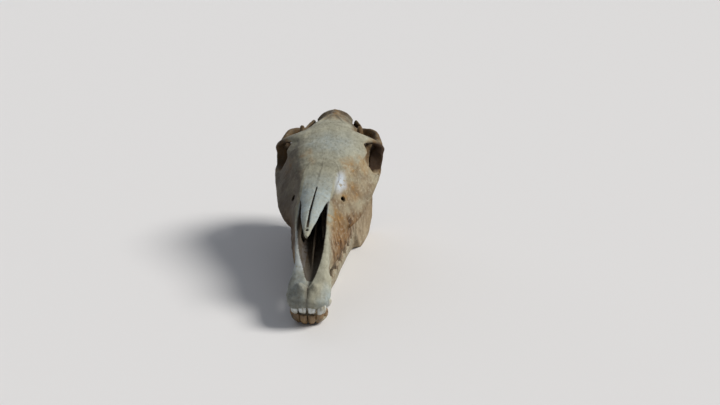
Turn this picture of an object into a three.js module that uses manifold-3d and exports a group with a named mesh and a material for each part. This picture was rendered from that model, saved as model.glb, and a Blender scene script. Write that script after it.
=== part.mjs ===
// Horse skull: the cranium closed on its lower jaw, life size, standing on the lower edges of
// the jaw as it does on a table, so that the nose is lower than the back of the head.
//
// Units are millimetres and +Z is up. The bones are shaped in the skull's own frame: X is
// sideways with the animal's left positive, Y is the distance back from the front of the upper
// jaw, and Z is the height above the hard palate. A last group lays the skull on the floor.
//
// The whole skull is modelled as one body, then parted into its bones by thin suture cuts.

import * as THREE from 'three';
import { LoftGeometry } from 'three/addons/geometries/LoftGeometry.js';
import { mergeVertices } from 'three/addons/utils/BufferGeometryUtils.js';
import Module from 'manifold-3d';

const wasm = await Module();
wasm.setup();

// Driving dimensions
const SUTURE = 0.4; // gap between neighbouring bones
const NOSE_DROP = 8.9; // degrees, how far the palate falls toward the nose at rest
const REST_Y = 150; // where the front of the lower jaw's edge touches the floor
const REST_Z = -71; // height of that contact in the skull's frame
const BITE_Z = -26; // level where the upper and lower cheek teeth meet
const ORIGIN_Y = 270.9; // middle of the length, which stands over the origin
const NASAL_TIP_Y = 86;
const NASAL_SUTURE_Y = 300; // frontonasal suture
const BONE_SKIN = 9; // thickness of the roof bones

// Cross sections of the face, from the front of the upper jaw to behind the orbits. Each row
// gives a distance back, then the half section from the top midline to the bottom midline:
// top, shoulder, side, crest, hollow, gum, palate edge and palate midline.
const FACE = {
  y: [0, 22, 52, 85, 125, 165, 192, 224, 262, 300, 345],
  topZ: [4, 12, 20, 29, 41, 58, 80, 93, 102, 111, 122],
  shoulderX: [15, 21, 23, 25, 26.5, 27, 26, 28, 38, 52, 66],
  shoulderZ: [3, 11, 20, 30, 43, 60, 74, 85, 93, 99, 106],
  sideX: [24, 32, 31, 27.5, 29.5, 35, 40, 45, 56, 69, 78],
  sideZ: [0, 7, 14, 22, 31, 43, 54, 62, 70, 78, 84],
  crestX: [28, 36, 34, 28, 32, 39, 46, 66, 81, 89, 93],
  crestZ: [-3, 0, 5, 10, 14, 19, 24, 28, 35, 43, 51],
  hollowX: [27, 35, 34, 28, 35, 43, 48, 55, 61, 66, 56],
  hollowZ: [-7, -5, -1, 2, 3, 6, 9, 12, 15, 20, 34],
  gumX: [23, 31, 28, 25, 36, 44, 49, 54, 57, 59, 42],
  gumZ: [-13, -12, -5, -4, -5, -6, -6, -6, -5, -4, 12],
  palateX: [10, 16, 16, 16, 22, 27, 29, 31, 32, 32, 24],
  palateZ: [-12, -10, -2, 1, 2, 3, 4, 4, 4, 5, 14],
  roofZ: [-12, -8, 0, 3, 6, 8, 9, 9, 9, 10, 16],
};

// Braincase and the core between the orbits: top, shoulder, widest, lower edge and base.
const BRAINCASE = {
  y: [290, 345, 385, 425, 460, 490, 515, 532, 543],
  topZ: [107, 121, 128, 130, 128, 125, 121, 117, 108],
  shoulderX: [38, 50, 52, 46, 40, 33, 31, 30, 24],
  shoulderZ: [98, 112, 118, 118, 115, 110, 105, 100, 94],
  wideX: [46, 54, 45, 46, 51, 54, 51, 42, 33],
  wideZ: [72, 80, 84, 84, 80, 78, 76, 74, 72],
  lowX: [38, 42, 36, 34, 37, 42, 42, 36, 26],
  lowZ: [30, 36, 42, 44, 45, 46, 46, 46, 50],
  baseZ: [14, 20, 26, 30, 33, 35, 36, 38, 44],
};

// Free front part of the nasal bones, over the open nose.
const NASAL = {
  y: [NASAL_TIP_Y, 92, 105, 130, 160, 190, 215],
  topZ: [69, 70.5, 73, 78, 83, 88, 91],
  halfX: [3.5, 6.5, 10, 15, 19, 23, 26],
};

// Nasal cavity: half width, floor height and roof height.
const CAVITY = {
  y: [27, 40, 60, 90, 130, 170, 205, 236],
  halfX: [2.5, 6, 11, 18, 22.5, 24, 22, 9],
  floorZ: [8, 9, 11, 13, 15, 17, 22, 44],
  roofZ: [50, 56, 60, 61, 69, 76, 80, 72],
};

// Zygomatic arch: path and half thickness, from the facial crest to the temporal bone.
const ARCH = {
  y: [208, 258, 300, 330, 362, 392, 418, 444, 468, 486, 500],
  x: [57, 75, 84, 87, 91, 92, 93, 93, 86, 68, 48],
  z: [25, 34, 42, 49, 55, 64, 76, 84, 92, 87, 78],
  halfX: [5, 6, 8, 12, 13, 13, 13, 9.5, 5.5, 8, 10],
  halfZ: [4, 6, 8, 11, 11, 12, 13, 12.5, 11, 12, 14],
};

// Shelf of the frontal bones over the orbits: half width and height of its edge.
const SHELF = {
  y: [318, 345, 365, 385, 400, 412, 424, 438],
  halfX: [56, 73, 79, 80, 82, 78, 60, 47],
  edgeZ: [96, 101, 104, 105, 106, 108, 112, 112],
};

// Supraorbital process: from the frontal bone down to the arch.
const BROW = {
  x: [44, 60, 74, 87, 97, 101],
  y: [392, 396, 403, 410, 415, 418],
  z: [116, 114, 109, 101, 93, 84],
  halfY: [22, 17, 12, 10, 9, 9],
  halfZ: [10, 8, 6.5, 6, 6, 7],
};

const CREST_HALF_WIDTH = 34; // nuchal crest, at the back of the head

// Cheek teeth, from the front: place along the row, and outer edge of the upper crowns. The
// lower crowns are narrower and stand nearer the tongue.
const CHEEK_TEETH = {
  y: [150, 177, 204, 230, 256, 283],
  outerX: [37, 44, 49, 53, 56, 58],
};
const CHEEK_TOOTH_LENGTH = 32;
const CHEEK_TOOTH_WIDTH = 25;
const LOWER_TOOTH_WIDTH = 17;
const LOWER_TOOTH_INSET = 7;
const GUM_Z = -3.5; // where the upper crowns leave the bone
const LOWER_GUM_Z = -39; // where the lower crowns leave the jaw

// Upper incisors on one side, from the middle: angle round the arcade, size and tip height.
const INCISOR_ANGLES = [14, 42, 70];
const INCISOR_TIP_Z = [-22.5, -26, -22.5];
const LOWER_INCISOR_TIP_Z = -26.8;
const INCISOR_WIDTH = [6.4, 7.2, 6.2];
const ARCADE_RADIUS = 31;
const ARCADE_CENTRE_Y = 27;

// Lower jaw. The chin is one body across the midline: half width, upper and lower height.
const CHIN = {
  y: [4, 16, 36, 58, 84, 100],
  halfX: [23, 30, 28, 21, 18, 18],
  topZ: [-36, -34, -33, -34, -37, -39],
  baseZ: [-44, -48, -51, -54, -59, -61],
};

// Each side of the jaw behind it: middle, half thickness, upper and lower edge.
const JAW = {
  y: [70, 92, 115, 140, 170, 226, 295, 340, 372],
  x: [12, 13.5, 16.5, 20.5, 24, 30, 39, 48, 57],
  halfX: [6, 6.5, 7.5, 9, 10, 10.5, 10.5, 8, 6],
  topZ: [-36, -38, -39, -37, -36, -35, -33, -24, 0],
  baseZ: [-57, -61, -65, -70, -75, -80, -90.5, -101, -107],
};

// Upright plate of the lower jaw, seen from the side in (y, z), from its front root round the
// coronoid process, the notch, the neck of the joint and the angle.
const RAMUS = [
  [322, -60], [322, -33], [340, -6], [362, 28], [396, 62], [424, 92], [437, 114], [445, 121],
  [452, 116], [455, 96], [461, 76], [472, 66], [487, 62], [492, 46], [491, 10], [488, -30],
  [480, -66], [462, -92], [436, -108], [406, -114], [372, -110], [345, -102],
];
const RAMUS_X = 59.9; // middle of the plate, where it crosses RAMUS_Y at the palate's height
const RAMUS_Y = 400;
const RAMUS_SPREAD = 0.157; // how far it spreads outward for each unit back
const RAMUS_LEAN = -0.075; // how far it leans inward for each unit of height
const RAMUS_THICKNESS = 6;

// --- curves and solids ---------------------------------------------------------------------

// Smooth value of one column of a table at a distance y.
function at(table, column, y) {
  const ys = table.y;
  const values = table[column];
  const last = ys.length - 1;
  let i = 0;
  while (i < last - 1 && y > ys[i + 1]) i += 1;
  const slope = (k) => {
    const a = Math.max(k - 1, 0);
    const b = Math.min(k + 1, last);
    return (values[b] - values[a]) / (ys[b] - ys[a]);
  };
  const span = ys[i + 1] - ys[i];
  const t = THREE.MathUtils.clamp((y - ys[i]) / span, 0, 1);
  const rise = values[i + 1] - values[i];
  const bend = (1 - t) * (slope(i) * span - rise) - t * (slope(i + 1) * span - rise);
  return values[i] + t * rise + t * (1 - t) * bend;
}

function manifoldFrom(geometry) {
  const bare = new THREE.BufferGeometry();
  bare.setAttribute('position', geometry.getAttribute('position'));
  if (geometry.index) bare.setIndex(geometry.index);
  const merged = mergeVertices(bare, 1e-4);
  const vertProperties = merged.attributes.position.array;
  const triVerts = new Uint32Array(merged.index.array);
  return new wasm.Manifold(new wasm.Mesh({ numProp: 3, vertProperties, triVerts }));
}

function steps(from, to, count) {
  return Array.from({ length: count + 1 }, (_, i) => from + ((to - from) * i) / count);
}

// Closed section from its half outline, listed from the top midline to the bottom midline.
function mirroredSection(y, half, count) {
  const right = half.map(([x, z]) => new THREE.Vector3(x, y, z));
  const left = half.slice(1, -1).reverse().map(([x, z]) => new THREE.Vector3(-x, y, z));
  const curve = new THREE.CatmullRomCurve3([...right, ...left], true, 'centripetal');
  return Array.from({ length: count }, (_, i) => curve.getPoint(i / count));
}

function loft(sections) {
  return manifoldFrom(new LoftGeometry(sections, { capStart: true, capEnd: true }));
}

function ellipsoid(centre, radii, detail = 12) {
  const sphere = new THREE.SphereGeometry(1, detail, Math.round(detail * 0.6));
  return manifoldFrom(sphere.scale(...radii).translate(...centre));
}

// Bar along a path of centres, each with an upright ellipse across the path.
function bar(centres, halfWide, halfHigh, count = 10) {
  const path = centres.map((c, i) => {
    const before = centres[Math.max(i - 1, 0)];
    const after = centres[Math.min(i + 1, centres.length - 1)];
    const along = new THREE.Vector3().subVectors(after, before).setZ(0).normalize();
    const side = new THREE.Vector3(along.y, -along.x, 0);
    return Array.from({ length: count }, (_, k) => {
      const angle = (k / count) * Math.PI * 2;
      const point = c.clone().addScaledVector(side, Math.cos(angle) * halfWide[i]);
      point.z -= Math.sin(angle) * halfHigh[i];
      return point;
    });
  });
  return loft(path);
}

function mirrored(solid) {
  return solid.mirror([1, 0, 0]);
}

function bothSides(solid) {
  return solid.add(mirrored(solid));
}

// Prism with an outline seen from the side, in (y, z), between two x values.
function sidePrism(outline, fromX, toX, grow = 0) {
  const shape = new THREE.Shape(grownOutline(outline, grow));
  const depth = toX - fromX + 2 * grow;
  const geometry = new THREE.ExtrudeGeometry(shape, { depth, bevelEnabled: false });
  const toSide = new THREE.Matrix4().makeBasis(
    new THREE.Vector3(0, 1, 0),
    new THREE.Vector3(0, 0, 1),
    new THREE.Vector3(1, 0, 0),
  );
  return manifoldFrom(geometry.applyMatrix4(toSide).translate(fromX - grow, 0, 0));
}

// Prism with an outline seen from above, in (x, y), between two heights.
function topPrism(outline, fromZ, toZ, grow = 0) {
  const shape = new THREE.Shape(grownOutline(outline, grow));
  const depth = toZ - fromZ + 2 * grow;
  const geometry = new THREE.ExtrudeGeometry(shape, { depth, bevelEnabled: false });
  return manifoldFrom(geometry.translate(0, 0, fromZ - grow));
}

// Outline moved outward by a small distance.
function grownOutline(outline, distance) {
  const points = outline.map(([a, b]) => new THREE.Vector2(a, b));
  if (THREE.ShapeUtils.isClockWise(points)) points.reverse();
  return points.map((point, i) => {
    const before = points[(i + points.length - 1) % points.length];
    const after = points[(i + 1) % points.length];
    const edgeIn = point.clone().sub(before).normalize();
    const edgeOut = after.clone().sub(point).normalize();
    const normalIn = new THREE.Vector2(edgeIn.y, -edgeIn.x);
    const normalOut = new THREE.Vector2(edgeOut.y, -edgeOut.x);
    const mid = normalIn.clone().add(normalOut).normalize();
    const stretch = Math.min(1 / Math.max(mid.dot(normalIn), 0.4), 2.5);
    return point.clone().addScaledVector(mid, distance * stretch);
  });
}

// --- the whole skull -----------------------------------------------------------------------

function faceSection(y) {
  const value = (column) => at(FACE, column, y);
  const half = [
    [0, value('topZ')],
    [value('shoulderX'), value('shoulderZ')],
    [value('sideX'), value('sideZ')],
    [value('crestX'), value('crestZ')],
    [value('hollowX'), value('hollowZ')],
    [value('gumX'), value('gumZ')],
    [value('palateX'), value('palateZ')],
    [0, value('roofZ')],
  ];
  return mirroredSection(y, half, 18);
}

function face() {
  const places = [0, 8, ...steps(22, 192, 8), ...steps(210, 345, 6)];
  const nose = faceSection(0).map((p) => new THREE.Vector3(p.x * 0.75, -4, p.z * 0.7 - 2));
  return loft([nose, ...places.map(faceSection)]);
}

function braincase() {
  const section = (y) => {
    const value = (column) => at(BRAINCASE, column, y);
    const half = [
      [0, value('topZ')],
      [value('shoulderX'), value('shoulderZ')],
      [value('wideX'), value('wideZ')],
      [value('lowX'), value('lowZ')],
      [0, value('baseZ')],
    ];
    return mirroredSection(y, half, 14);
  };
  return loft(steps(290, 543, 10).map(section));
}

function nasalRoof() {
  const section = (y) => {
    const top = at(NASAL, 'topZ', y);
    const wide = at(NASAL, 'halfX', y);
    const half = [
      [0, top],
      [0.6 * wide, top - 0.1 * wide],
      [wide, top - 0.42 * wide],
      [0.9 * wide, top - 0.42 * wide - 4],
      [0.55 * wide, top - 0.1 * wide - 6],
      [0, top - 7],
    ];
    return mirroredSection(y, half, 12);
  };
  return loft(NASAL.y.map(section));
}

function nasalCavity() {
  const section = (y) => {
    const wide = at(CAVITY, 'halfX', y);
    const floor = at(CAVITY, 'floorZ', y);
    const roof = at(CAVITY, 'roofZ', y);
    const half = [
      [0, roof],
      [0.8 * wide, roof - 1],
      [wide, 0.5 * (roof + floor)],
      [0.8 * wide, floor + 2],
      [0, floor],
    ];
    return mirroredSection(y, half, 10);
  };
  return loft(CAVITY.y.map(section));
}

function zygomaticArch() {
  const centres = ARCH.y.map((y, i) => new THREE.Vector3(ARCH.x[i], y, ARCH.z[i]));
  return bar(centres, ARCH.halfX, ARCH.halfZ, 7);
}

function browProcess() {
  const centres = BROW.x.map((x, i) => new THREE.Vector3(x, BROW.y[i], BROW.z[i]));
  return bar(centres, BROW.halfY, BROW.halfZ, 8);
}

// Roof over the orbits, from the forehead to behind the supraorbital processes.
function frontalShelf() {
  const section = (y) => {
    const top = at(BRAINCASE, 'topZ', y) + 0.5;
    const wide = at(SHELF, 'halfX', y);
    const edge = at(SHELF, 'edgeZ', y);
    const half = [
      [0, top],
      [0.6 * wide, 0.35 * edge + 0.65 * top],
      [wide, edge],
      [0.95 * wide, edge - 7],
      [0.5 * wide, edge - 8],
      [0, edge - 8],
    ];
    return mirroredSection(y, half, 12);
  };
  return loft(SHELF.y.map(section));
}

function nuchalCrest() {
  const section = (x) => {
    const fall = (x / CREST_HALF_WIDTH) ** 2;
    return new THREE.Vector3(x, 541 - 11 * fall, 112 - 12 * fall);
  };
  const path = steps(-CREST_HALF_WIDTH, CREST_HALF_WIDTH, 6).map(section);
  return bar(path, [3, 7, 9, 10, 9, 7, 3], [3, 6, 7, 7, 7, 6, 3], 6);
}

function occipitalCondyle() {
  return ellipsoid([19, 540, 58], [15, 15, 20], 10);
}

// The paracondylar process hangs down, so it is lofted from level sections.
function paracondylarProcess() {
  const levels = [
    [-14, 50, 520, 3.5, 6],
    [5, 50, 521, 4, 8.5],
    [25, 49, 522, 5, 11],
    [45, 46, 522, 7, 13],
    [66, 44, 522, 9, 14],
  ];
  return loft(levels.map(([z, x, y, halfX, halfY]) => Array.from({ length: 8 }, (_, k) => {
    const angle = (k / 8) * Math.PI * 2;
    return new THREE.Vector3(x + Math.cos(angle) * halfX, y + Math.sin(angle) * halfY, z);
  })));
}

function temporalDetails() {
  const jointBump = ellipsoid([72, 480, 80], [19, 9, 8], 8);
  const path = [[60, 484, 84], [58, 500, 86], [54, 516, 88], [44, 532, 92]];
  const crest = bar(path.map((p) => new THREE.Vector3(...p)), [3, 3, 3, 4], [8, 8, 8, 8], 6);
  const bulla = ellipsoid([36, 492, 42], [11, 13, 12], 8);
  const ear = ellipsoid([58, 506, 72], [9, 7, 7], 8);
  return jointBump.add(crest).add(bulla).add(ear);
}

function pterygoidWall() {
  const wall = [
    [262, 6], [262, 20], [300, 30], [345, 44], [392, 46], [392, 30], [356, 8], [338, 2], [300, -2],
  ];
  return sidePrism(wall, 21, 26);
}

function cheekTooth(i, outerX, width, fromZ, toZ, grow) {
  const halfY = CHEEK_TOOTH_LENGTH / 2 + grow;
  const halfX = width / 2 + grow;
  const x = outerX - width / 2;
  const y = CHEEK_TEETH.y[i];
  // a squarish crown with rounded corners
  const ring = (z) => Array.from({ length: 8 }, (_, k) => {
    const angle = (k / 8) * Math.PI * 2;
    const corner = k % 2 ? 1.28 : 1;
    const outward = Math.cos(angle) * halfX * corner;
    return new THREE.Vector3(x + outward, y + Math.sin(angle) * halfY * corner, z);
  });
  return loft([ring(fromZ - grow), ring(toZ + grow)]);
}

function upperTeeth(grow = 0) {
  const tooth = (outerX, i) => cheekTooth(i, outerX, CHEEK_TOOTH_WIDTH, BITE_Z, GUM_Z, grow);
  return CHEEK_TEETH.outerX.map(tooth).reduce((a, b) => a.add(b));
}

function lowerTeeth(grow = 0) {
  const top = BITE_Z - SUTURE;
  const tooth = (outerX, i) => cheekTooth(
    i, outerX - LOWER_TOOTH_INSET, LOWER_TOOTH_WIDTH, LOWER_GUM_Z, top, grow,
  );
  return CHEEK_TEETH.outerX.map(tooth).reduce((a, b) => a.add(b));
}

// One incisor of the arcade. Each level gives its height, how far out it stands from the middle
// of the arcade, and its breadth and depth as parts of its width.
function incisor(i, levels, grow) {
  const angle = THREE.MathUtils.degToRad(INCISOR_ANGLES[i]);
  return loft(levels.map(([z, reach, broad, deep]) => Array.from({ length: 7 }, (_, k) => {
    const turn = (k / 7) * Math.PI * 2;
    const across = Math.cos(turn) * (INCISOR_WIDTH[i] * broad + grow);
    const outward = ARCADE_RADIUS * reach - Math.sin(turn) * (INCISOR_WIDTH[i] * deep + grow);
    const x = Math.sin(angle) * outward + Math.cos(angle) * across;
    const y = ARCADE_CENTRE_Y - Math.cos(angle) * outward * 0.92 + Math.sin(angle) * across;
    return new THREE.Vector3(x, y, z);
  })));
}

function upperIncisor(i, grow = 0) {
  const tip = INCISOR_TIP_Z[i];
  return incisor(i, [
    [tip - grow, 1.02, 0.92, 0.42],
    [tip + 7, 1.05, 1.08, 0.72],
    [-10, 0.98, 1, 0.85],
    [1, 0.86, 0.8, 0.8],
  ], grow);
}

function lowerIncisor(i, grow = 0) {
  return incisor(i, [
    [-46, 0.74, 0.7, 0.6],
    [-40, 0.84, 0.85, 0.75],
    [-33, 0.9, 0.95, 0.7],
    [LOWER_INCISOR_TIP_Z + grow, 0.92, 0.9, 0.45],
  ], grow);
}

function allIncisors(kind, grow) {
  return INCISOR_ANGLES.map((_, i) => kind(i, grow)).reduce((a, b) => a.add(b));
}

// --- the lower jaw -------------------------------------------------------------------------

function chin() {
  const section = (y) => {
    const wide = at(CHIN, 'halfX', y);
    const top = at(CHIN, 'topZ', y);
    const base = at(CHIN, 'baseZ', y);
    const half = [
      [0, top - 2],
      [0.7 * wide, top],
      [wide, top - 5],
      [0.72 * wide, base + 4],
      [0, base],
    ];
    return mirroredSection(y, half, 10);
  };
  return loft(CHIN.y.map(section));
}

function jawSide() {
  const centre = (y) => 0.5 * (at(JAW, 'topZ', y) + at(JAW, 'baseZ', y));
  const ys = [70, 100, 140, 170, 226, 295, 340, 372];
  return bar(
    ys.map((y) => new THREE.Vector3(at(JAW, 'x', y), y, centre(y))),
    ys.map((y) => at(JAW, 'halfX', y)),
    ys.map((y) => 0.5 * (at(JAW, 'topZ', y) - at(JAW, 'baseZ', y))),
    8,
  );
}

function ramus() {
  const depth = RAMUS_THICKNESS;
  const options = { depth, bevelEnabled: true, bevelThickness: 2, bevelSize: 2, bevelSegments: 1 };
  const geometry = new THREE.ExtrudeGeometry(new THREE.Shape(grownOutline(RAMUS, -2)), options);
  geometry.translate(0, 0, -depth / 2);
  const upright = new THREE.Matrix4().set(
    RAMUS_SPREAD, RAMUS_LEAN, 1, RAMUS_X - RAMUS_SPREAD * RAMUS_Y,
    1, 0, 0, 0,
    0, 1, 0, 0,
    0, 0, 0, 1,
  );
  return manifoldFrom(geometry.applyMatrix4(upright));
}

function lowerJaw() {
  const condyle = ellipsoid([76, 480, 60], [19, 9, 9], 8);
  const neck = ellipsoid([70, 480, 44], [7, 12, 20], 6);
  const angle = bar(
    [[60, 362, -102], [67, 400, -106], [71, 434, -100], [74, 462, -82], [76, 480, -56]].map(
      ([x, y, z]) => new THREE.Vector3(x, y, z),
    ),
    [4, 5, 6, 5, 3],
    [6, 8, 9, 9, 7],
    6,
  );
  const side = jawSide().add(ramus()).add(condyle).add(neck).add(angle);
  const sockets = bothSides(lowerTeeth(SUTURE).add(allIncisors(lowerIncisor, SUTURE)));
  return chin().add(bothSides(side)).subtract(sockets).subtract(belowFloor());
}

// Everything below the floor, as seen from the skull's own frame.
function belowFloor() {
  const block = new THREE.BoxGeometry(600, 1200, 200).translate(0, 0, -100);
  block.rotateX(THREE.MathUtils.degToRad(-NOSE_DROP));
  return manifoldFrom(block.translate(0, REST_Y, REST_Z));
}

function openings() {
  const orbit = ellipsoid([92, 379, 84], [48, 29, 26], 12);
  const tilted = ellipsoid([62, 384, 86], [24, 24, 22], 8);
  const foramen = manifoldFrom(new THREE.CylinderGeometry(3.2, 4.2, 30, 8)
    .rotateX(0.35).rotateZ(-0.35).translate(43, 232, 60));
  const meatus = manifoldFrom(new THREE.CylinderGeometry(3, 3, 20, 6)
    .rotateZ(Math.PI / 2).translate(66, 506, 72));
  const sides = bothSides(orbit.add(tilted).add(foramen).add(meatus));
  const magnum = manifoldFrom(new THREE.CylinderGeometry(16, 13, 60, 10).translate(0, 532, 61));
  const choana = ellipsoid([0, 308, 4], [20, 50, 30], 10);
  return sides.add(magnum).add(choana).add(nasalCavity());
}

function wholeSkull() {
  const side = [
    zygomaticArch(),
    browProcess(),
    occipitalCondyle(),
    paracondylarProcess(),
    pterygoidWall(),
    temporalDetails(),
  ].reduce((a, b) => a.add(b));
  const orbitFloor = ellipsoid([80, 370, 47], [18, 44, 9], 10);
  const body = [braincase(), frontalShelf(), nuchalCrest(), bothSides(side.add(orbitFloor))]
    .reduce((a, b) => a.add(b), face());
  const vomer = sidePrism([[64, 6], [64, 16], [120, 30], [238, 52], [238, 6]], -1.6, 1.6);
  return body.subtract(openings()).add(nasalRoof()).add(vomer);
}

// --- the bones -----------------------------------------------------------------------------

const FAR = 200; // reaches past the bones to every side
const PAST_BACK = 700; // and past the back of the head

// Height of the roof of the skull at a distance back.
function roofZ(y) {
  if (y < 215) return at(NASAL, 'topZ', y);
  return y < 330 ? at(FACE, 'topZ', y) : at(BRAINCASE, 'topZ', y);
}

function nasalRegion(grow) {
  const seenFromAbove = [
    [0, 70], [10, 78], [14, 105], [20, 130], [25, 165], [28, 196], [33, 225], [34, 255], [30, 280],
    [18, 294], [0, NASAL_SUTURE_Y],
  ];
  const under = steps(70, 310, 12).map((y) => [y, roofZ(Math.max(y, NASAL_TIP_Y)) - BONE_SKIN - 5]);
  const roof = sidePrism([...under, [310, FAR], [70, FAR]], 0, FAR, grow);
  return roof.intersect(topPrism(seenFromAbove, 0, FAR, grow));
}

// Region of one bone: an outline seen from the side, in (y, z), from one x to another.
function boneRegion(outline, fromX, toX) {
  return (grow) => sidePrism(outline, fromX, toX, grow);
}

const VOMER = [[60, 19.5], [120, 19.5], [230, 29], [230, 62], [60, 45]];
const INCISIVE = [
  [-30, -60], [64, -60], [66, -4], [84, 10], [120, 26], [160, 44], [198, 64], [200, 100], [-30, 100],
];
const FRONTAL = [
  [278, 90], [330, 97], [372, 99], [398, 90], [428, 88], [442, 97], [446, FAR], [278, FAR],
];
const ZYGOMATIC = [
  [258, 26], [300, 22], [345, 34], [400, 40], [440, 66], [456, 76], [448, 110], [420, 106],
  [404, 84], [380, 66], [350, 58], [318, 60], [285, 50],
];
const LACRIMAL = [[300, 60], [322, 58], [356, 56], [372, 66], [372, 110], [300, 110]];
const OCCIPITAL = [[518, FAR], [518, 64], [507, 58], [507, -60], [620, -60], [620, FAR]];
const PARIETAL = [[436, 104], [470, 102], [530, 98], [530, FAR], [436, FAR]];
const TEMPORAL = [[428, 54], [530, 54], [530, 130], [428, 130]];
const PALATINE = [[256, -30], [396, -30], [396, 38], [330, 30], [256, 26]];
const SPHENOID = [[346, -60], [530, -60], [530, FAR], [346, FAR]];
const MAXILLA = [[-30, -60], [420, -60], [420, FAR], [-30, FAR]];

// Each bone is what its region holds of the skull that the bones before it have left. A whole
// bone crosses the midline, and the others are pairs.
const BONES = [
  { name: 'vomer', colour: 0x6f6552, whole: true, region: boneRegion(VOMER, -2.2, 2.2) },
  { name: 'nasal', colour: 0xb9bdb4, region: nasalRegion },
  { name: 'incisive', colour: 0xb5b09a, region: boneRegion(INCISIVE, 0, FAR) },
  { name: 'frontal', colour: 0xaaa893, region: boneRegion(FRONTAL, 0, FAR) },
  { name: 'zygomatic', colour: 0xa1937a, region: boneRegion(ZYGOMATIC, 61, FAR) },
  { name: 'lacrimal', colour: 0xa38a62, region: boneRegion(LACRIMAL, 38, FAR) },
  { name: 'occipital', colour: 0x8d7a5e, whole: true, region: boneRegion(OCCIPITAL, -FAR, FAR) },
  { name: 'parietal', colour: 0xa39f88, whole: true, region: boneRegion(PARIETAL, -FAR, FAR) },
  { name: 'temporal', colour: 0x85694a, region: boneRegion(TEMPORAL, 33, FAR) },
  { name: 'palatine', colour: 0x7d6b52, whole: true, region: boneRegion(PALATINE, -29, 29) },
  { name: 'sphenoid', colour: 0x7d6b52, whole: true, region: boneRegion(SPHENOID, -FAR, FAR) },
  { name: 'maxilla', colour: 0x96805a, region: boneRegion(MAXILLA, 0, FAR) },
];

function largest(solid) {
  return solid.decompose().reduce((a, b) => (a.volume() > b.volume() ? a : b));
}

function meshOf(name, solid, colour, roughness = 0.75) {
  const { vertProperties, triVerts } = solid.getMesh();
  const geometry = new THREE.BufferGeometry();
  geometry.setAttribute('position', new THREE.BufferAttribute(new Float32Array(vertProperties), 3));
  geometry.setIndex(new THREE.BufferAttribute(new Uint32Array(triVerts), 1));
  const material = new THREE.MeshStandardMaterial({ color: colour, roughness, metalness: 0 });
  const mesh = new THREE.Mesh(geometry, material);
  mesh.name = name;
  return mesh;
}

// A pair of meshes, left and right of the midline.
function addPair(group, name, solid, colour, roughness) {
  group.add(meshOf(`${name}_left`, solid, colour, roughness));
  group.add(meshOf(`${name}_right`, mirrored(solid), colour, roughness));
}

function buildBones(group) {
  const teeth = upperTeeth(SUTURE).add(allIncisors(upperIncisor, SUTURE));
  let rest = wholeSkull().subtract(bothSides(teeth));
  const edge = SUTURE / 2;
  const leftOfMidline = topPrism(
    [[edge, -FAR], [FAR, -FAR], [FAR, PAST_BACK], [edge, PAST_BACK]],
    -FAR,
    FAR,
  );
  for (const { name, colour, whole, region } of BONES) {
    const piece = rest.intersect(region(0));
    if (whole) {
      group.add(meshOf(name, largest(piece), colour));
      rest = rest.subtract(region(SUTURE));
    } else {
      addPair(group, name, largest(piece.intersect(leftOfMidline)), colour);
      rest = rest.subtract(bothSides(region(SUTURE)));
    }
  }
}

function buildTeeth(group) {
  addPair(group, 'upper_cheek_teeth', upperTeeth(), 0xb3a88c, 0.5);
  addPair(group, 'lower_cheek_teeth', lowerTeeth(), 0xb3a88c, 0.5);
  INCISOR_ANGLES.forEach((_, i) => {
    addPair(group, `upper_incisor_${i + 1}`, upperIncisor(i), 0xc4c1b0, 0.4);
    addPair(group, `lower_incisor_${i + 1}`, lowerIncisor(i), 0xc4c1b0, 0.4);
  });
}

const skull = new THREE.Group();
buildBones(skull);
buildTeeth(skull);
skull.add(meshOf('mandible', largest(lowerJaw()), 0xa8a08a));

// Stand the skull on the floor with its nose lowered, its middle over the origin.
const drop = THREE.MathUtils.degToRad(NOSE_DROP);
skull.rotation.x = drop;
skull.position.y = -ORIGIN_Y * Math.cos(drop);
skull.position.z = -(REST_Y * Math.sin(drop) + REST_Z * Math.cos(drop));

const model = new THREE.Group();
model.add(skull);

export default model;
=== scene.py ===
# %% [markdown]
# # A horse skull, closed on its jaw
# This lesson rebuilds a dry horse skull bone by bone. Bone has no flat faces and no edges that
# a ruler could draw, so the shapes are made as *fields*: a box of numbers, each the distance to
# the bone's surface. Fields can be blended softly into each other, the way bone grows, and a
# mesh is drawn where the number is zero. Lengths are in millimetres in the skull's own frame:
# x to the animal's left, y back from the front teeth, z up from the palate.

# %% Load the frame
import math

import bpy
import numpy as np
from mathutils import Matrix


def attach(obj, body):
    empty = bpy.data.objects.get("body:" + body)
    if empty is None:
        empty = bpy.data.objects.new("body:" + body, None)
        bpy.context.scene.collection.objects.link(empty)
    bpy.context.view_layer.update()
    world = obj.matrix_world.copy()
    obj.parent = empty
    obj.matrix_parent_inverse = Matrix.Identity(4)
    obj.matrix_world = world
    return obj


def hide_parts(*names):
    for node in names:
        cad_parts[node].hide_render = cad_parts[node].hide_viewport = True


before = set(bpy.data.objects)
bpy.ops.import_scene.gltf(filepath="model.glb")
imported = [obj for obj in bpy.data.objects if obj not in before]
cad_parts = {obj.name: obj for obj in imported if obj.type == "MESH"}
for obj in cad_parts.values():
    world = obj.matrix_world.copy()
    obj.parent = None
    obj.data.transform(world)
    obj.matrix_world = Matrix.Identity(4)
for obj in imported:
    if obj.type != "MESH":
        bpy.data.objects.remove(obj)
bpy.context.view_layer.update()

import openvdb

# %% [markdown]
# ## From the skull's frame to the floor
# The skull lies on the lower edges of its jaw, so the nose drops by nearly nine degrees. Each
# object could be turned in the scene instead. Here one function carries the points from the
# skull's frame in millimetres to the floor's in metres, so every piece agrees with the solids.

# %% Where the skull stands
NOSE_DROP = math.radians(8.9)
REST_Y, REST_Z = 150.0, -71.0  # where the front of the jaw's edge touches the floor
ORIGIN_Y = 270.9  # middle of the length


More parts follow.
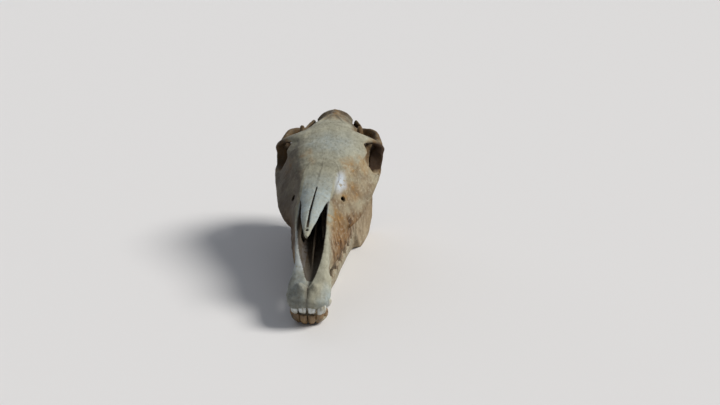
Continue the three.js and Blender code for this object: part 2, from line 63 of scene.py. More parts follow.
def to_floor(points):
    x, y, z = np.asarray(points, float).T
    cos, sin = math.cos(NOSE_DROP), math.sin(NOSE_DROP)
    along = y * cos - z * sin - ORIGIN_Y * cos
    up = y * sin + z * cos - (REST_Y * sin + REST_Z * cos)
    return np.column_stack([x, along, np.maximum(up, 0.0)]) / 1000


print("front teeth stand", to_floor([(0, 0, -26)]).round(3)[0], "from the middle")

# %% [markdown]
# ## The camera
# The view is from in front of the nose, a little to the animal's left and looking down. The lens
# is given by its focal length in pixels, so the perspective of the long face comes out right.

# %% Camera
CAMERA_AT = (0.1545, -1.3660, 0.5715)
CAMERA_AZIMUTH, CAMERA_ELEVATION, CAMERA_ROLL = (math.radians(a) for a in (3.6, 18.1, 0.147))
FOCAL_PIXELS, IMAGE_PIXELS = 774.6, 720
SENSOR = 36.0

camera = bpy.data.objects.new("Camera", bpy.data.cameras.new("Camera"))
bpy.context.collection.objects.link(camera)
camera.data.sensor_width = SENSOR
camera.data.lens = SENSOR * FOCAL_PIXELS / IMAGE_PIXELS
camera.data.clip_start, camera.data.clip_end = 0.05, 60
camera.location = CAMERA_AT
camera.rotation_euler = (math.pi / 2 - CAMERA_ELEVATION, 0, CAMERA_AZIMUTH)
camera.rotation_euler.rotate_axis("Z", CAMERA_ROLL)
bpy.context.scene.camera = camera
print("lens", round(camera.data.lens, 1), "mm")

# %% [markdown]
# ## The field's grid
# Only the left half is computed, because a skull's halves mirror each other. The grid's points
# are 1.2 mm apart, fine enough for the thin rims of the orbits. A finer grid would be slower
# and its meshes too heavy.

# %% Grid
VOXEL = 1.2
REACH = 14.0  # how far from a part its distance is worked out
MIDLINE = 3  # index of x = 0
GY = np.arange(-14, 566, VOXEL, dtype=np.float32)
GX = np.arange(-MIDLINE, 98, 1, dtype=np.float32) * np.float32(VOXEL)
GZ = np.arange(-124, 142, VOXEL, dtype=np.float32)
print("grid", len(GY), "x", len(GX), "x", len(GZ))


def window(low, high):
    """Index ranges and coordinates of the grid between two corners (x, y, z)."""
    cuts = tuple(
        slice(int(np.searchsorted(g, low[i])), int(np.searchsorted(g, high[i], "right")))
        for g, i in ((GY, 1), (GX, 0), (GZ, 2))
    )
    y = GY[cuts[0]][:, None, None]
    x = np.abs(GX[cuts[1]])[None, :, None]
    z = GZ[cuts[2]][None, None, :]
    return cuts, x, y, z


def soft_min(a, b, soft):
    h = np.clip(0.5 + 0.5 * (b - a) / soft, 0, 1)
    return b + (a - b) * h - soft * h * (1 - h)


def join(field, part, soft=4.0):
    cuts, values = part
    field[cuts] = soft_min(field[cuts], values, soft)


def carve(field, part, soft=2.0):
    cuts, values = part
    field[cuts] = -soft_min(-field[cuts], values, soft)


# %% [markdown]
# ## Four ways to make a part of the field
# An egg, a tube along a path, a body lofted through sections and a plate with an outline are
# enough for every bone. Lofting suits the long face, tubes the arches, eggs the joints and
# plates the back of the jaw. Metaballs blend too, but they can't follow an outline.

# %% Tables
def at(table, column, y):
    """Smooth value of one column of a table at the distances y."""
    ys, values = np.array(table["y"], float), np.array(table[column], float)
    y = np.asarray(y, float)
    i = np.clip(np.searchsorted(ys, y, "left") - 1, 0, len(ys) - 2)
    rows = np.arange(len(ys))
    before, after = np.maximum(rows - 1, 0), np.minimum(rows + 1, len(ys) - 1)
    slope = (values[after] - values[before]) / (ys[after] - ys[before])
    span = ys[i + 1] - ys[i]
    t = np.clip((y - ys[i]) / span, 0, 1)
    rise = values[i + 1] - values[i]
    bend = (1 - t) * (slope[i] * span - rise) - t * (slope[i + 1] * span - rise)
    return values[i] + t * rise + t * (1 - t) * bend


print("halfway between 0 and 10 is", at({"y": [0, 1], "v": [0, 10]}, "v", 0.5))


# %% Closed curves and distance to an outline
def closed_curve(points, per=4):
    """Points along a smooth closed curve through the given ones (centripetal Catmull-Rom)."""
    p1 = np.asarray(points, float)
    p0, p2, p3 = np.roll(p1, 1, 0), np.roll(p1, -1, 0), np.roll(p1, -2, 0)

    def step(a, b):
        return np.maximum(np.linalg.norm(b - a, axis=1), 1e-6)[:, None] ** 0.5

    t1 = step(p0, p1)
    t2 = t1 + step(p1, p2)
    t3 = t2 + step(p2, p3)
    rows = []
    for k in range(per):
        t = t1 + (t2 - t1) * k / per
        a1 = (t1 - t) / t1 * p0 + t / t1 * p1
        a2 = (t2 - t) / (t2 - t1) * p1 + (t - t1) / (t2 - t1) * p2
        a3 = (t3 - t) / (t3 - t2) * p2 + (t - t2) / (t3 - t2) * p3
        b1 = (t2 - t) / t2 * a1 + t / t2 * a2
        b2 = (t3 - t) / (t3 - t1) * a2 + (t - t1) / (t3 - t1) * a3
        rows.append((t2 - t) / (t2 - t1) * b1 + (t - t1) / (t2 - t1) * b2)
    return np.stack(rows, 1).reshape(-1, 2)


def mirrored_ring(half):
    left = [(-x, z) for x, z in half[1:-1][::-1]]
    return closed_curve(list(half) + left)


def outline_distance(outline, a, b):
    """Signed distance from the points (a, b) to a closed outline, negative inside."""
    best = np.full(np.broadcast(a, b).shape, 1e9, np.float32)
    inside = np.zeros(best.shape, bool)
    for (ax, ay), (bx, by) in zip(outline, np.roll(outline, -1, 0)):
        ex, ey = bx - ax, by - ay
        t = np.clip(((a - ax) * ex + (b - ay) * ey) / (ex * ex + ey * ey + 1e-9), 0, 1)
        best = np.minimum(best, (a - ax - t * ex) ** 2 + (b - ay - t * ey) ** 2)
        if ey:
            inside ^= ((ay > b) != (by > b)) & (a < ex * (b - ay) / ey + ax)
    return np.where(inside, -1, 1) * np.sqrt(best)


print("a circle's edge lies at", outline_distance(closed_curve([(1, 0), (0, 1), (-1, 0), (0, -1)]),
                                                  np.array([0.0]), np.array([0.0]))[0].round(2))


# %% Egg
def egg_values(x, y, z, centre, radii):
    px, py, pz = ((v - c) / r for v, c, r in zip((x, y, z), centre, radii))
    k0 = np.sqrt(px * px + py * py + pz * pz)
    k1 = np.sqrt((px / radii[0]) ** 2 + (py / radii[1]) ** 2 + (pz / radii[2]) ** 2)
    return (k0 * (k0 - 1) / np.maximum(k1, 1e-5)).astype(np.float32)


def egg(centre, radii):
    low = [c - r - REACH for c, r in zip(centre, radii)]
    high = [c + r + REACH for c, r in zip(centre, radii)]
    cuts, x, y, z = window(low, high)
    return cuts, egg_values(x, y, z, centre, radii)


print("depth of an egg of radius 10:", round(float(egg((40, 100, 0), (10, 10, 10))[1].min()), 1))


# %% Tube
def smooth_rows(rows, per=5):
    """Rows of numbers along an open path, with smooth values in between."""
    rows = np.asarray(rows, float)
    table = {"y": np.arange(len(rows), dtype=float)}
    s = np.linspace(0, len(rows) - 1, (len(rows) - 1) * per + 1)
    for c in range(rows.shape[1]):
        table[c] = rows[:, c]
    return np.column_stack([at(table, c, s) for c in range(rows.shape[1])])


def tube(rows, across=(0, 0, 1), per=5):
    """Tube along rows of (x, y, z, half width, half height); across points along its height."""
    fine = smooth_rows(rows, per)
    reach = fine[:, 3:].max() + REACH
    cuts, *_ = window(fine[:, :3].min(0) - reach, fine[:, :3].max(0) + reach)
    values = np.full([c.stop - c.start for c in cuts], REACH, np.float32)
    for a, b in zip(fine[:-1], fine[1:]):
        local, x, y, z = window(np.minimum(a, b)[:3] - reach, np.maximum(a, b)[:3] + reach)
        part = tuple(slice(n.start - c.start, n.stop - c.start) for n, c in zip(local, cuts))
        edge = (b - a)[:3]
        length = np.linalg.norm(edge)
        along = edge / length
        side = np.cross(along, across)
        side /= np.linalg.norm(side)
        high = np.cross(side, along)
        dx, dy, dz = x - a[0], y - a[1], z - a[2]
        t = np.clip((dx * along[0] + dy * along[1] + dz * along[2]) / length, 0, 1)
        dx, dy, dz = dx - t * edge[0], dy - t * edge[1], dz - t * edge[2]
        wide, tall = a[3] + (b[3] - a[3]) * t, a[4] + (b[4] - a[4]) * t
        thin = np.minimum(wide, tall)
        ds = (dx * side[0] + dy * side[1] + dz * side[2]) / wide
        dh = (dx * high[0] + dy * high[1] + dz * high[2]) / tall
        du = (dx * along[0] + dy * along[1] + dz * along[2]) / thin
        k0 = np.sqrt(ds * ds + dh * dh + du * du)
        k1 = np.sqrt((ds / wide) ** 2 + (dh / tall) ** 2 + (du / thin) ** 2)
        values[part] = np.minimum(values[part], k0 * (k0 - 1) / np.maximum(k1, 1e-5))
    return cuts, values


print("a path of 3 rows is smoothed into", len(smooth_rows([(0, 0), (1, 1), (2, 0)])))


# %% Loft and plate
def lofted(places, ring):
    """Body lofted through the upright outlines ring(y) at the places along y."""
    places = np.asarray(places, float)
    cuts, x, y, z = window((-9, places[0] - REACH, -200), (200, places[-1] + REACH, 200))
    x, z = x[0], z[0]
    slices = np.stack([outline_distance(ring(p), x, z) for p in places]).astype(np.float32)
    ys = GY[cuts[0]]
    i = np.clip(np.searchsorted(places, ys) - 1, 0, len(places) - 2)
    t = np.clip((ys - places[i]) / (places[i + 1] - places[i]), 0, 1)
    t = t[:, None, None].astype(np.float32)
    values = slices[i] * (1 - t) + slices[i + 1] * t
    past = np.maximum(places[0] - ys, ys - places[-1])[:, None, None].astype(np.float32)
    beyond = np.hypot(np.maximum(values, 0), past)
    return cuts, np.where(past > 0, beyond, np.maximum(values, past))


def plate(outline, middle, half, low_x=-9, high_x=200):
    """Plate with an outline in (y, z); middle and half give its place and half thickness."""
    outline = np.asarray(outline, float)
    (y0, z0), (y1, z1) = outline.min(0) - REACH, outline.max(0) + REACH
    cuts, x, y, z = window((low_x, y0, z0), (high_x, y1, z1))
    flat = outline_distance(outline, y[:, 0], z[:, 0])[:, None, :]
    sides = np.abs(x - middle(y, z)) - half(y, z, flat)
    return cuts, -soft_min(-flat, -sides, 3.0).astype(np.float32)


def blank():
    return np.full((len(GY), len(GX), len(GZ)), REACH, np.float32)


print("parts of a field: egg, tube, lofted, plate")

# %% [markdown]
# ## The face and the braincase
# The face is a long wedge. Its half section runs from the ridge of the nose over a shoulder and
# the side wall to the facial crest, tucks in under the crest, and ends at the gum and the
# palate. The tables hold those points at set distances back from the front teeth. Sculpting
# would do it by eye; a table can be measured, and changed one number at a time.

# %% Sections of the skull
FACE = {
    "y": [0, 22, 52, 85, 125, 165, 192, 224, 262, 300, 345],
    "topZ": [4, 12, 20, 29, 41, 58, 80, 93, 102, 111, 122],
    "shoulderX": [15, 21, 23, 25, 26.5, 27, 26, 28, 38, 52, 66],
    "shoulderZ": [3, 11, 20, 30, 43, 60, 74, 85, 93, 99, 106],
    "sideX": [26, 31, 30, 27.5, 29.5, 35, 40, 45, 56, 69, 78],
    "sideZ": [0, 7, 14, 22, 31, 43, 54, 62, 70, 78, 84],
    "crestX": [29.5, 35, 33, 28, 32, 39, 46, 66, 81, 89, 93],
    "crestZ": [-3, 0, 5, 10, 14, 19, 24, 28, 35, 43, 51],
    "hollowX": [29, 34.5, 33, 28, 35, 43, 48, 55, 61, 66, 56],
    "hollowZ": [-7, -5, -1, 2, 3, 6, 9, 12, 15, 20, 34],
    "gumX": [26, 31, 28, 25, 36, 44, 49, 54, 57, 59, 42],
    "gumZ": [-16, -13, -5, -4, -5, -6, -6, -6, -5, -4, 12],
    "palateX": [10, 16, 16, 16, 22, 27, 29, 31, 32, 32, 24],
    "palateZ": [-12, -10, -2, 1, 2, 3, 4, 4, 4, 5, 14],
    "roofZ": [-12, -8, 0, 3, 6, 8, 9, 9, 9, 10, 16],
}
BRAINCASE = {
    "y": [290, 345, 385, 425, 460, 490, 515, 532, 543],
    "topZ": [107, 121, 128, 130, 128, 125, 121, 117, 108],
    "shoulderX": [38, 50, 52, 46, 40, 33, 31, 30, 24],
    "shoulderZ": [98, 112, 118, 118, 115, 110, 105, 100, 94],
    "wideX": [46, 54, 45, 46, 51, 54, 51, 42, 33],
    "wideZ": [72, 80, 84, 84, 80, 78, 76, 74, 72],
    "lowX": [38, 42, 36, 34, 37, 42, 42, 36, 26],
    "lowZ": [30, 36, 42, 44, 45, 46, 46, 46, 50],
    "baseZ": [14, 20, 26, 30, 33, 35, 36, 38, 44],
}
NASAL = {
    "y": [86, 92, 105, 130, 160, 190, 215],
    "topZ": [69, 70.5, 73, 78, 83, 88, 91],
    "halfX": [2.5, 4.2, 7, 12.5, 17.5, 22.5, 26],
}
CAVITY = {
    "y": [27, 40, 60, 90, 130, 170, 205, 236],
    "halfX": [2.5, 6, 11, 18, 22.5, 24, 22, 9],
    "floorZ": [8, 9, 11, 13, 15, 17, 22, 44],
    "roofZ": [50, 56, 60, 61, 69, 76, 80, 72],
}
SHELF = {
    "y": [318, 345, 365, 385, 400, 412, 424, 438],
    "halfX": [56, 73, 79, 80, 82, 78, 60, 47],
    "edgeZ": [96, 101, 104, 105, 106, 108, 112, 112],
}


print(len(FACE["y"]), "sections of the face and", len(BRAINCASE["y"]), "of the braincase")

# %% Outlines of the sections
MUZZLE_ROUNDING_Y = 8  # in front of it the muzzle closes like the end of an egg
MUZZLE_ROUNDING = 15


def face_ring(y):
    if y < MUZZLE_ROUNDING_Y:
        size = math.sqrt(1 - ((MUZZLE_ROUNDING_Y - y) / MUZZLE_ROUNDING) ** 2)
        return face_ring(MUZZLE_ROUNDING_Y) * size + (0, (1 - size) * -4)
    names = ("shoulder", "side", "crest", "hollow", "gum", "palate")
    points = [(at(FACE, n + "X", y), at(FACE, n + "Z", y)) for n in names]
    return mirrored_ring([(0, at(FACE, "topZ", y)), *points, (0, at(FACE, "roofZ", y))])


def braincase_ring(y):
    names = ("shoulder", "wide", "low")
    points = [(at(BRAINCASE, n + "X", y), at(BRAINCASE, n + "Z", y)) for n in names]
    return mirrored_ring([(0, at(BRAINCASE, "topZ", y)), *points, (0, at(BRAINCASE, "baseZ", y))])


def shelf_ring(y):
    top, wide, edge = at(BRAINCASE, "topZ", y) + 0.5, at(SHELF, "halfX", y), at(SHELF, "edgeZ", y)
    return mirrored_ring([
        (0, top), (0.6 * wide, 0.35 * edge + 0.65 * top), (wide, edge - 2),
        (0.97 * wide, edge - 5.5), (0.5 * wide, edge - 8), (0, edge - 8),
    ])


def nasal_ring(y):
    top, wide = at(NASAL, "topZ", y), at(NASAL, "halfX", y)
    return mirrored_ring([
        (0, top), (0.6 * wide, top - 0.1 * wide), (wide, top - 0.42 * wide),
        (0.9 * wide, top - 0.42 * wide - 3), (0.55 * wide, top - 0.1 * wide - 5), (0, top - 6),
    ])


def cavity_ring(y):
    wide, floor, roof = (at(CAVITY, n, y) for n in ("halfX", "floorZ", "roofZ"))
    return mirrored_ring([
        (0, roof), (0.8 * wide, roof - 1), (wide, 0.5 * (roof + floor)), (0.8 * wide, floor + 2),
        (0, floor),
    ])


print("outline of the face:", len(face_ring(100)), "points")

# %% Lofted skull
skull = blank()
join(skull, lofted([-5, -3.5, -2, 0, 2.5, 5, 8, *np.linspace(13, 345, 48)], face_ring), 1)
join(skull, lofted(np.linspace(290, 543, 40), braincase_ring), 14)
join(skull, lofted(np.linspace(318, 438, 24), shelf_ring), 6)
print("skull so far", round(float((skull < 0).sum()) * 2 * VOXEL ** 3 / 1e6, 2), "litres")

# %% [markdown]
# ## Arches, crests and joints
# The zygomatic arch leaves the face as the facial crest, passes under the orbit and swings in
# to the braincase. The supraorbital process drops from the forehead to meet it, closing the
# orbit's ring. Tubes with changing half widths follow them. A bevelled curve could too, but it
# wouldn't melt into the face.

# %% Arches, crests, condyles
ARCH = [
    (54, 205, 25, 4, 4), (62, 224, 28, 5.5, 5.5), (75, 258, 34, 6, 6.5), (83, 300, 42, 8, 8),
    (87, 330, 49, 11, 10), (91, 362, 55, 12, 10), (92, 392, 64, 13, 11), (93, 418, 76, 13, 13),
    (93, 444, 84, 9.5, 12.5), (86, 468, 92, 5.5, 10.5), (68, 486, 87, 7.5, 12), (48, 500, 78, 9, 14),
]
BROW = [
    (44, 392, 116, 21, 9), (60, 396, 114, 17, 7.5), (74, 403, 109, 12, 6), (87, 410, 101, 9.5, 5.5),
    (97, 415, 93, 8.5, 5.5), (101, 418, 84, 8.5, 7),
]
CREST_HALF_WIDTH = 34


def crest_row(x, thick, tall):
    fall = (x / CREST_HALF_WIDTH) ** 2
    return (x, 541 - 11 * fall, 112 - 12 * fall, thick, tall)


join(skull, tube(ARCH), 6)
join(skull, tube(BROW), 8)
join(skull, egg((80, 370, 47), (18, 44, 8)), 8)  # a plate across the bottom of the orbit, broader than the bone there; it blocks the view through the orbit, so that the orbit looks dark as in shade
join(skull, tube([crest_row(-6, 9, 6.5), crest_row(6, 9, 6.5), crest_row(18, 8, 6.5),
                  crest_row(27, 6, 6), crest_row(34, 3.5, 4)]), 6)
SAGITTAL_CREST = [(0, 470, 124, 3, 3), (0, 500, 122, 4, 4), (0, 530, 118, 6, 5)]
join(skull, tube(SAGITTAL_CREST), 9)
TEMPORAL_LINE = [(34, 434, 121, 1.5, 2), (22, 462, 124, 1.5, 2), (8, 490, 125, 2, 2)]
join(skull, tube(TEMPORAL_LINE), 5)
join(skull, egg((19, 540, 58), (14, 15, 20)), 5)  # joint for the neck
PARACONDYLAR = [  # the prong behind the ear that hangs down
    (44, 522, 66, 9, 14), (46, 522, 45, 7, 13), (49, 522, 25, 5, 11), (50, 521, 5, 4, 8.5),
    (50, 520, -12, 3.5, 6),
]
join(skull, tube(PARACONDYLAR, across=(0, 1, 0)), 6)
join(skull, egg((72, 480, 80), (18, 8, 7)), 6)  # joint for the lower jaw
join(skull, tube([(60, 484, 84, 3, 8), (58, 500, 86, 3, 8), (54, 516, 88, 3, 8),
                  (44, 532, 92, 4, 8)]), 5)
join(skull, egg((36, 492, 42), (11, 13, 12)), 4)  # bulla
join(skull, egg((58, 506, 72), (9, 7, 7)), 3)  # ear
PTERYGOID = [
    (262, 6), (262, 20), (300, 30), (345, 44), (392, 46), (392, 30), (356, 8), (338, 2), (300, -2),
]
join(skull, plate(PTERYGOID, lambda y, z: 23.5, lambda y, z, d: 2.5, 8), 4)
TOOTH_Y = (150, 177, 204, 230, 256, 283)
UPPER_OUTER_X = (37, 44, 49, 53, 56, 58)
for y, x in zip(TOOTH_Y, UPPER_OUTER_X):  # two roots bulge over each cheek tooth
    join(skull, tube([(x - 4, y - 6, -2, 3.4, 5), (x - 4, y - 6, 14, 2, 3)], across=(0, 1, 0)), 6)
    join(skull, tube([(x - 4, y + 7, -2, 3.4, 5), (x - 4, y + 7, 13, 2, 3)], across=(0, 1, 0)), 6)
ARCADE_RADIUS, ARCADE_CENTRE_Y, ARCADE_DEPTH = 31, 27, 0.92  # the arc of the incisors
for angle, tall in ((14, 10), (42, 17), (70, 13)):
    sin, cos = math.sin(math.radians(angle)), math.cos(math.radians(angle))
    root = [(sin * r, ARCADE_CENTRE_Y - cos * r * ARCADE_DEPTH, z, thick, thick)
            for r, z, thick in ((27.5, -16, 5), (27, -8, 6), (24, 2, 6), (17, tall, 5))]
    join(skull, tube(root, across=(0, 1, 0)), 9)
print("arches and joints are on")

# %% [markdown]
# ## The openings
# The orbits, the nose, the holes for nerves and the spinal cord are carved with the same kinds
# of part. A Boolean modifier leaves sharp rims, and a field can be carved with soft ones. The
# free tips of the nasal bones and the thin vomer are added after the nose is hollow.

# %% Openings
carve(skull, egg((92, 379, 84), (46, 28, 25)), 3)  # orbit
carve(skull, egg((66, 384, 86), (22, 24, 22)), 5)
carve(skull, egg((44, 230, 64), (4.2, 5.5, 5.5)), 2.5)  # hole for the nerve of the upper lip
carve(skull, tube([(44, 231, 64, 3, 3.5), (36, 250, 58, 3, 3)]), 2)
carve(skull, tube([(50, 506, 72, 2.6, 2.6), (75, 506, 74, 3.2, 3.2)]), 1.5)  # ear
carve(skull, tube([(0, 500, 60, 14, 14), (0, 562, 60, 15, 15)]), 3)  # hole for the spinal cord
carve(skull, egg((0, 308, 4), (19, 48, 28)), 3)  # behind the palate
carve(skull, lofted(np.linspace(27, 236, 36), cavity_ring), 2)  # nose
CLEFT = [(0, 24, 30, 1.4, 1.8), (0, 30, -20, 1.4, 1.8)]  # between the incisive bones
carve(skull, tube(CLEFT, across=(0, 1, 0)), 2)
join(skull, lofted(np.linspace(86, 215, 26), nasal_ring), 2)
carve(skull, tube([(0, 108, 76, 2.0, 9), (0, 135, 80, 2.3, 8), (0, 165, 84, 1.9, 7),
                   (0, 195, 88, 1.0, 5), (0, 222, 92, 0.3, 3)]), 1)  # slot between the nasal bones
NASAL_HOLE = [(0, 101, 60, 2.6, 2.6), (0, 101, 90, 2.6, 2.6)]  # a small hole near their tips
carve(skull, tube(NASAL_HOLE, across=(0, 1, 0)), 1)
VOMER = [(64, 8), (70, 12), (120, 25), (236, 50), (236, 8)]
join(skull, plate(VOMER, lambda y, z: 0.0, lambda y, z, d: 1.7), 2)
TURBINATE = [(17, 150, 30, 4, 7), (15, 190, 38, 6, 8), (12, 228, 50, 7, 8)]  # a scroll of thin bone
join(skull, tube(TURBINATE), 3)
print("openings are carved")

# %% [markdown]
# ## Parting the skull into bones
# Each bone is what its region holds of the skull that the bones before it have left. Real
# sutures wander, so a ripple of a few millimetres moves every boundary, where cutting planes
# would leave straight seams.

# %% Ripple
SUTURE = -1.4  # the pieces overlap a little, so that closed sutures leave no groove
FAR = 200.0


def lattice_noise(step, seed):
    """Smooth noise on the grid, with lumps of about the given size."""
    sizes = [int(len(g) * VOXEL / step) + 4 for g in (GY, GX, GZ)]
    values = np.random.default_rng(seed).standard_normal(sizes).astype(np.float32)
    for axis, g in enumerate((GY, GX, GZ)):
        t = np.arange(len(g), dtype=np.float32) * VOXEL / step
        i = t.astype(int)
        f = t - i
        f = (f * f * (3 - 2 * f)).reshape([-1 if a == axis else 1 for a in range(3)])
        values = np.take(values, i, axis) * (1 - f) + np.take(values, i + 1, axis) * f
    return values


ripple = 1.0 * lattice_noise(5.0, 3) + 1.8 * lattice_noise(15.0, 4)
print("the ripple moves a boundary by about", round(float(ripple.std()), 1), "mm")


# %% Regions
def side_region(outline, from_x, to_x, wander=1.0):
    """Region inside an outline in (y, z), between two distances from the midline."""
    flat = outline_distance(np.array(outline, float), GY[:, None], GZ[None, :]).astype(np.float32)
    x = np.abs(GX)[None, :, None]
    ends = np.maximum(from_x - x, x - to_x)
    return np.maximum(flat[:, None, :], ends) + wander * ripple


def roof_height(y):
    return np.where(y < 215, at(NASAL, "topZ", np.clip(y, 86, 215)),
                    np.where(y < 330, at(FACE, "topZ", y), at(BRAINCASE, "topZ", y)))


def nasal_region():
    above = [(0, 66), (10, 76), (14, 105), (20, 130), (25, 165), (28, 196), (33, 225), (34, 255),
             (30, 280), (18, 294), (0, 300), (-20, 300), (-20, 66)]
    flat = outline_distance(np.array(above, float), np.abs(GX)[None, :], GY[:, None])
    under = (roof_height(GY) - 14)[:, None, None] - GZ[None, None, :]
    return np.maximum(flat.astype(np.float32)[:, :, None] + 0.5 * ripple, under.astype(np.float32))


REGIONS = [  # bone, whether it crosses the midline, and its region
    ("vomer", True, lambda: side_region(
        [(60, 14), (120, 17), (230, 29), (230, 62), (60, 45)], -9, 2.2, 0)),
    ("nasal", False, nasal_region),
    ("incisive", False, lambda: side_region(
        [(-30, -60), (64, -60), (66, -4), (84, 10), (120, 26), (160, 44), (198, 64), (200, 100),
         (-30, 100)], -9, FAR)),
    ("frontal", False, lambda: side_region(
        [(278, 90), (330, 97), (372, 99), (398, 90), (428, 88), (442, 97), (446, FAR), (278, FAR)],
        -9, FAR)),
    ("zygomatic", False, lambda: side_region(
        [(258, 26), (300, 22), (345, 34), (400, 40), (440, 66), (456, 76), (448, 110), (420, 106),
         (404, 84), (380, 66), (350, 58), (318, 60), (285, 50)], 61, FAR)),
    ("lacrimal", False, lambda: side_region(
        [(300, 60), (322, 58), (356, 56), (372, 66), (372, 110), (300, 110)], 38, FAR)),
    ("occipital", True, lambda: side_region(
        [(518, FAR), (518, 64), (507, 58), (507, -60), (620, -60), (620, FAR)], -9, FAR)),
    ("parietal", True, lambda: side_region(
        [(436, 104), (470, 102), (530, 98), (530, FAR), (436, FAR)], -9, FAR)),
    ("temporal", False, lambda: side_region(
        [(428, 54), (530, 54), (530, 130), (428, 130)], 33, FAR)),
    ("palatine", True, lambda: side_region(
        [(256, -30), (396, -30), (396, 38), (330, 30), (256, 26)], -9, 29)),
    ("sphenoid", True, lambda: side_region(
        [(346, -60), (530, -60), (530, FAR), (346, FAR)], -9, FAR)),
    ("maxilla", False, lambda: side_region(
        [(-30, -60), (420, -60), (420, FAR), (-30, FAR)], -9, FAR)),
]
print(len(REGIONS), "regions")

# %% [markdown]
# ## From field to mesh
# The volume library draws quads where the field is zero. A voxel remesh works in the same way,
# but it starts from a mesh, and here there are only numbers. Small crumbs that a region cut
# loose are dropped, and two layers of noise then roughen the surface: broad lumps that bone
# always has and the finer grain of a dry, weathered one.

# %% Noise at free points
LATTICE = {}
LATTICE_REACH, LATTICE_START = 900, 300  # covers the skull, in millimetres
LATTICE_LIMIT = 160  # points along a side; finer noise repeats


def noise_at(points, step, seed):
    """Smooth noise between about -2 and 2 at free points, with lumps of the given size."""
    if (step, seed) not in LATTICE:
        sizes = [int(LATTICE_REACH / step) + 4] * 3 if step > 6 else [LATTICE_LIMIT] * 3
        LATTICE[step, seed] = np.random.default_rng(seed).standard_normal(sizes).astype(np.float32)
    values = LATTICE[step, seed]
    t = (points + LATTICE_START) / step
    i = np.floor(t).astype(int)
    f = t - i
    f = f * f * (3 - 2 * f)
    size = values.shape[0]
    total = np.zeros(len(points))
    for corner in np.ndindex(2, 2, 2):
        weight = np.prod([f[:, a] if corner[a] else 1 - f[:, a] for a in range(3)], axis=0)
        total += weight * values[tuple((i[:, a] + corner[a]) % size for a in range(3))]
    return total


print("noise at the origin:", noise_at(np.zeros((1, 3)), 19, 1).round(2)[0])


# %% From field to quads
BAND = 5.0  # farther from the surface than this, the field only says inside or outside


def biggest_piece(points, quads):
    """Drops everything but the largest connected piece."""
    label = np.arange(len(points))
    edges = np.vstack([quads[:, [0, 1]], quads[:, [1, 2]], quads[:, [2, 3]], quads[:, [3, 0]]])
    while True:
        low = np.minimum(label[edges[:, 0]], label[edges[:, 1]])
        new = label.copy()
        np.minimum.at(new, edges[:, 0], low)
        np.minimum.at(new, edges[:, 1], low)
        new = new[new]
        new = new[new]
        if (new == label).all():
            break
        label = new
    keep = label == np.bincount(label).argmax()
    number = np.cumsum(keep) - 1
    return points[keep], number[quads[keep[quads[:, 0]]]]


def resampled(block, ratio):
    """The same block of numbers with its points ratio times as far apart."""
    for axis in range(3):
        t = np.arange(0, block.shape[axis] - 1, ratio)
        i = t.astype(int)
        f = (t - i).astype(np.float32).reshape([-1 if a == axis else 1 for a in range(3)])
        block = np.take(block, i, axis) * (1 - f) + np.take(block, i + 1, axis) * f
    return block


def mesh_arrays(field, whole, coarse=1.0):
    """Points in millimetres and quads of the surface where the field is zero."""
    if whole:
        half = field[:, MIDLINE:]
        field = np.concatenate([half[:, :0:-1], half], axis=1)
        first_x = -GX[-1]
    else:
        field = np.maximum(field, (SUTURE / 2 - GX)[None, :, None])
        first_x = GX[0]
    inside = field < 0
    spans = [np.flatnonzero(inside.any(axis=others)) for others in ((1, 2), (0, 2), (0, 1))]
    cuts = tuple(slice(max(s[0] - 3, 0), s[-1] + 4) for s in spans)
    grid = openvdb.FloatGrid(BAND)
    block = np.clip(field[cuts], -BAND, BAND)
    if coarse > 1:
        block = resampled(block, coarse)
    grid.copyFromArray(np.ascontiguousarray(block))
    points, quads = grid.convertToQuads(0.0)
    start = np.array([c.start for c in cuts])
    y, x, z = ((points * coarse + start) * VOXEL + np.array([GY[0], first_x, GZ[0]])).T
    return biggest_piece(np.column_stack([x, y, z]), quads[:, ::-1].astype(int))


print("a row of 10 points resampled at 1.5 has", resampled(np.zeros((10, 10, 10)), 1.5).shape[0])


# %% Normals, and the field at free points
def point_normals(points, quads):
    a, b, c, d = (points[quads[:, k]] for k in range(4))
    face = np.cross(c - a, d - b)
    normals = np.zeros_like(points)
    for k in range(4):
        np.add.at(normals, quads[:, k], face)
    return normals / np.maximum(np.linalg.norm(normals, axis=1), 1e-9)[:, None]


def field_at(field, points):
    """Value of a field at free points, on either side of the midline."""
    x, y, z = points.T
    t = np.column_stack([y - GY[0], np.abs(x) - GX[0], z - GZ[0]]) / VOXEL
    i = np.clip(t.astype(int), 0, np.array(field.shape) - 2)
    f = t - i
    total = np.zeros(len(points))
    for corner in np.ndindex(2, 2, 2):
        weight = np.prod([f[:, a] if corner[a] else 1 - f[:, a] for a in range(3)], axis=0)
        total += weight * field[tuple(i[:, a] + corner[a] for a in range(3))]
    return total


print("field at the top of the head:", field_at(skull, np.array([(0.0, 400.0, 126.0)])).round(1)[0])

# %% [markdown]
# ## Where the bone is stained, and where shade and light are painted
# A skull that has lain outdoors isn't one colour. Each point gets seven amounts between 0 and 1.
# One darkens the hollows, the orbits, the inside of the nose, the bone behind the orbits and the
# cheeks toward the gums as painted shade, and draws dark lines along the sutures. *ochre* marks
# where soil has soaked in. Another lightens the bone where it faces up and the sun bleached it,
# and paints light on the bars of the muzzle and on the jaw's side that faces the key light. *cool*
# marks where the surface has gone blue-grey and *streak* where soil ran down the cheeks. One
# darkens the animal's right side, which is turned from the key light, as painted shade. The last
# shows clean bone where the outer layer broke off, and paints light on the shaded bars of the
# muzzle on the animal's right. The materials turn the amounts into colours. A painted image would
# need the skull unwrapped; an amount stored on each point needs no unwrapping and stays with the
# mesh.

# %% Measures that place the stains, the painted shade and the painted light
def fade(value, start, full):
    """0 up to start, 1 from full on, and a straight slope between them, in either direction."""
    return np.clip((value - start) / (full - start), 0, 1)


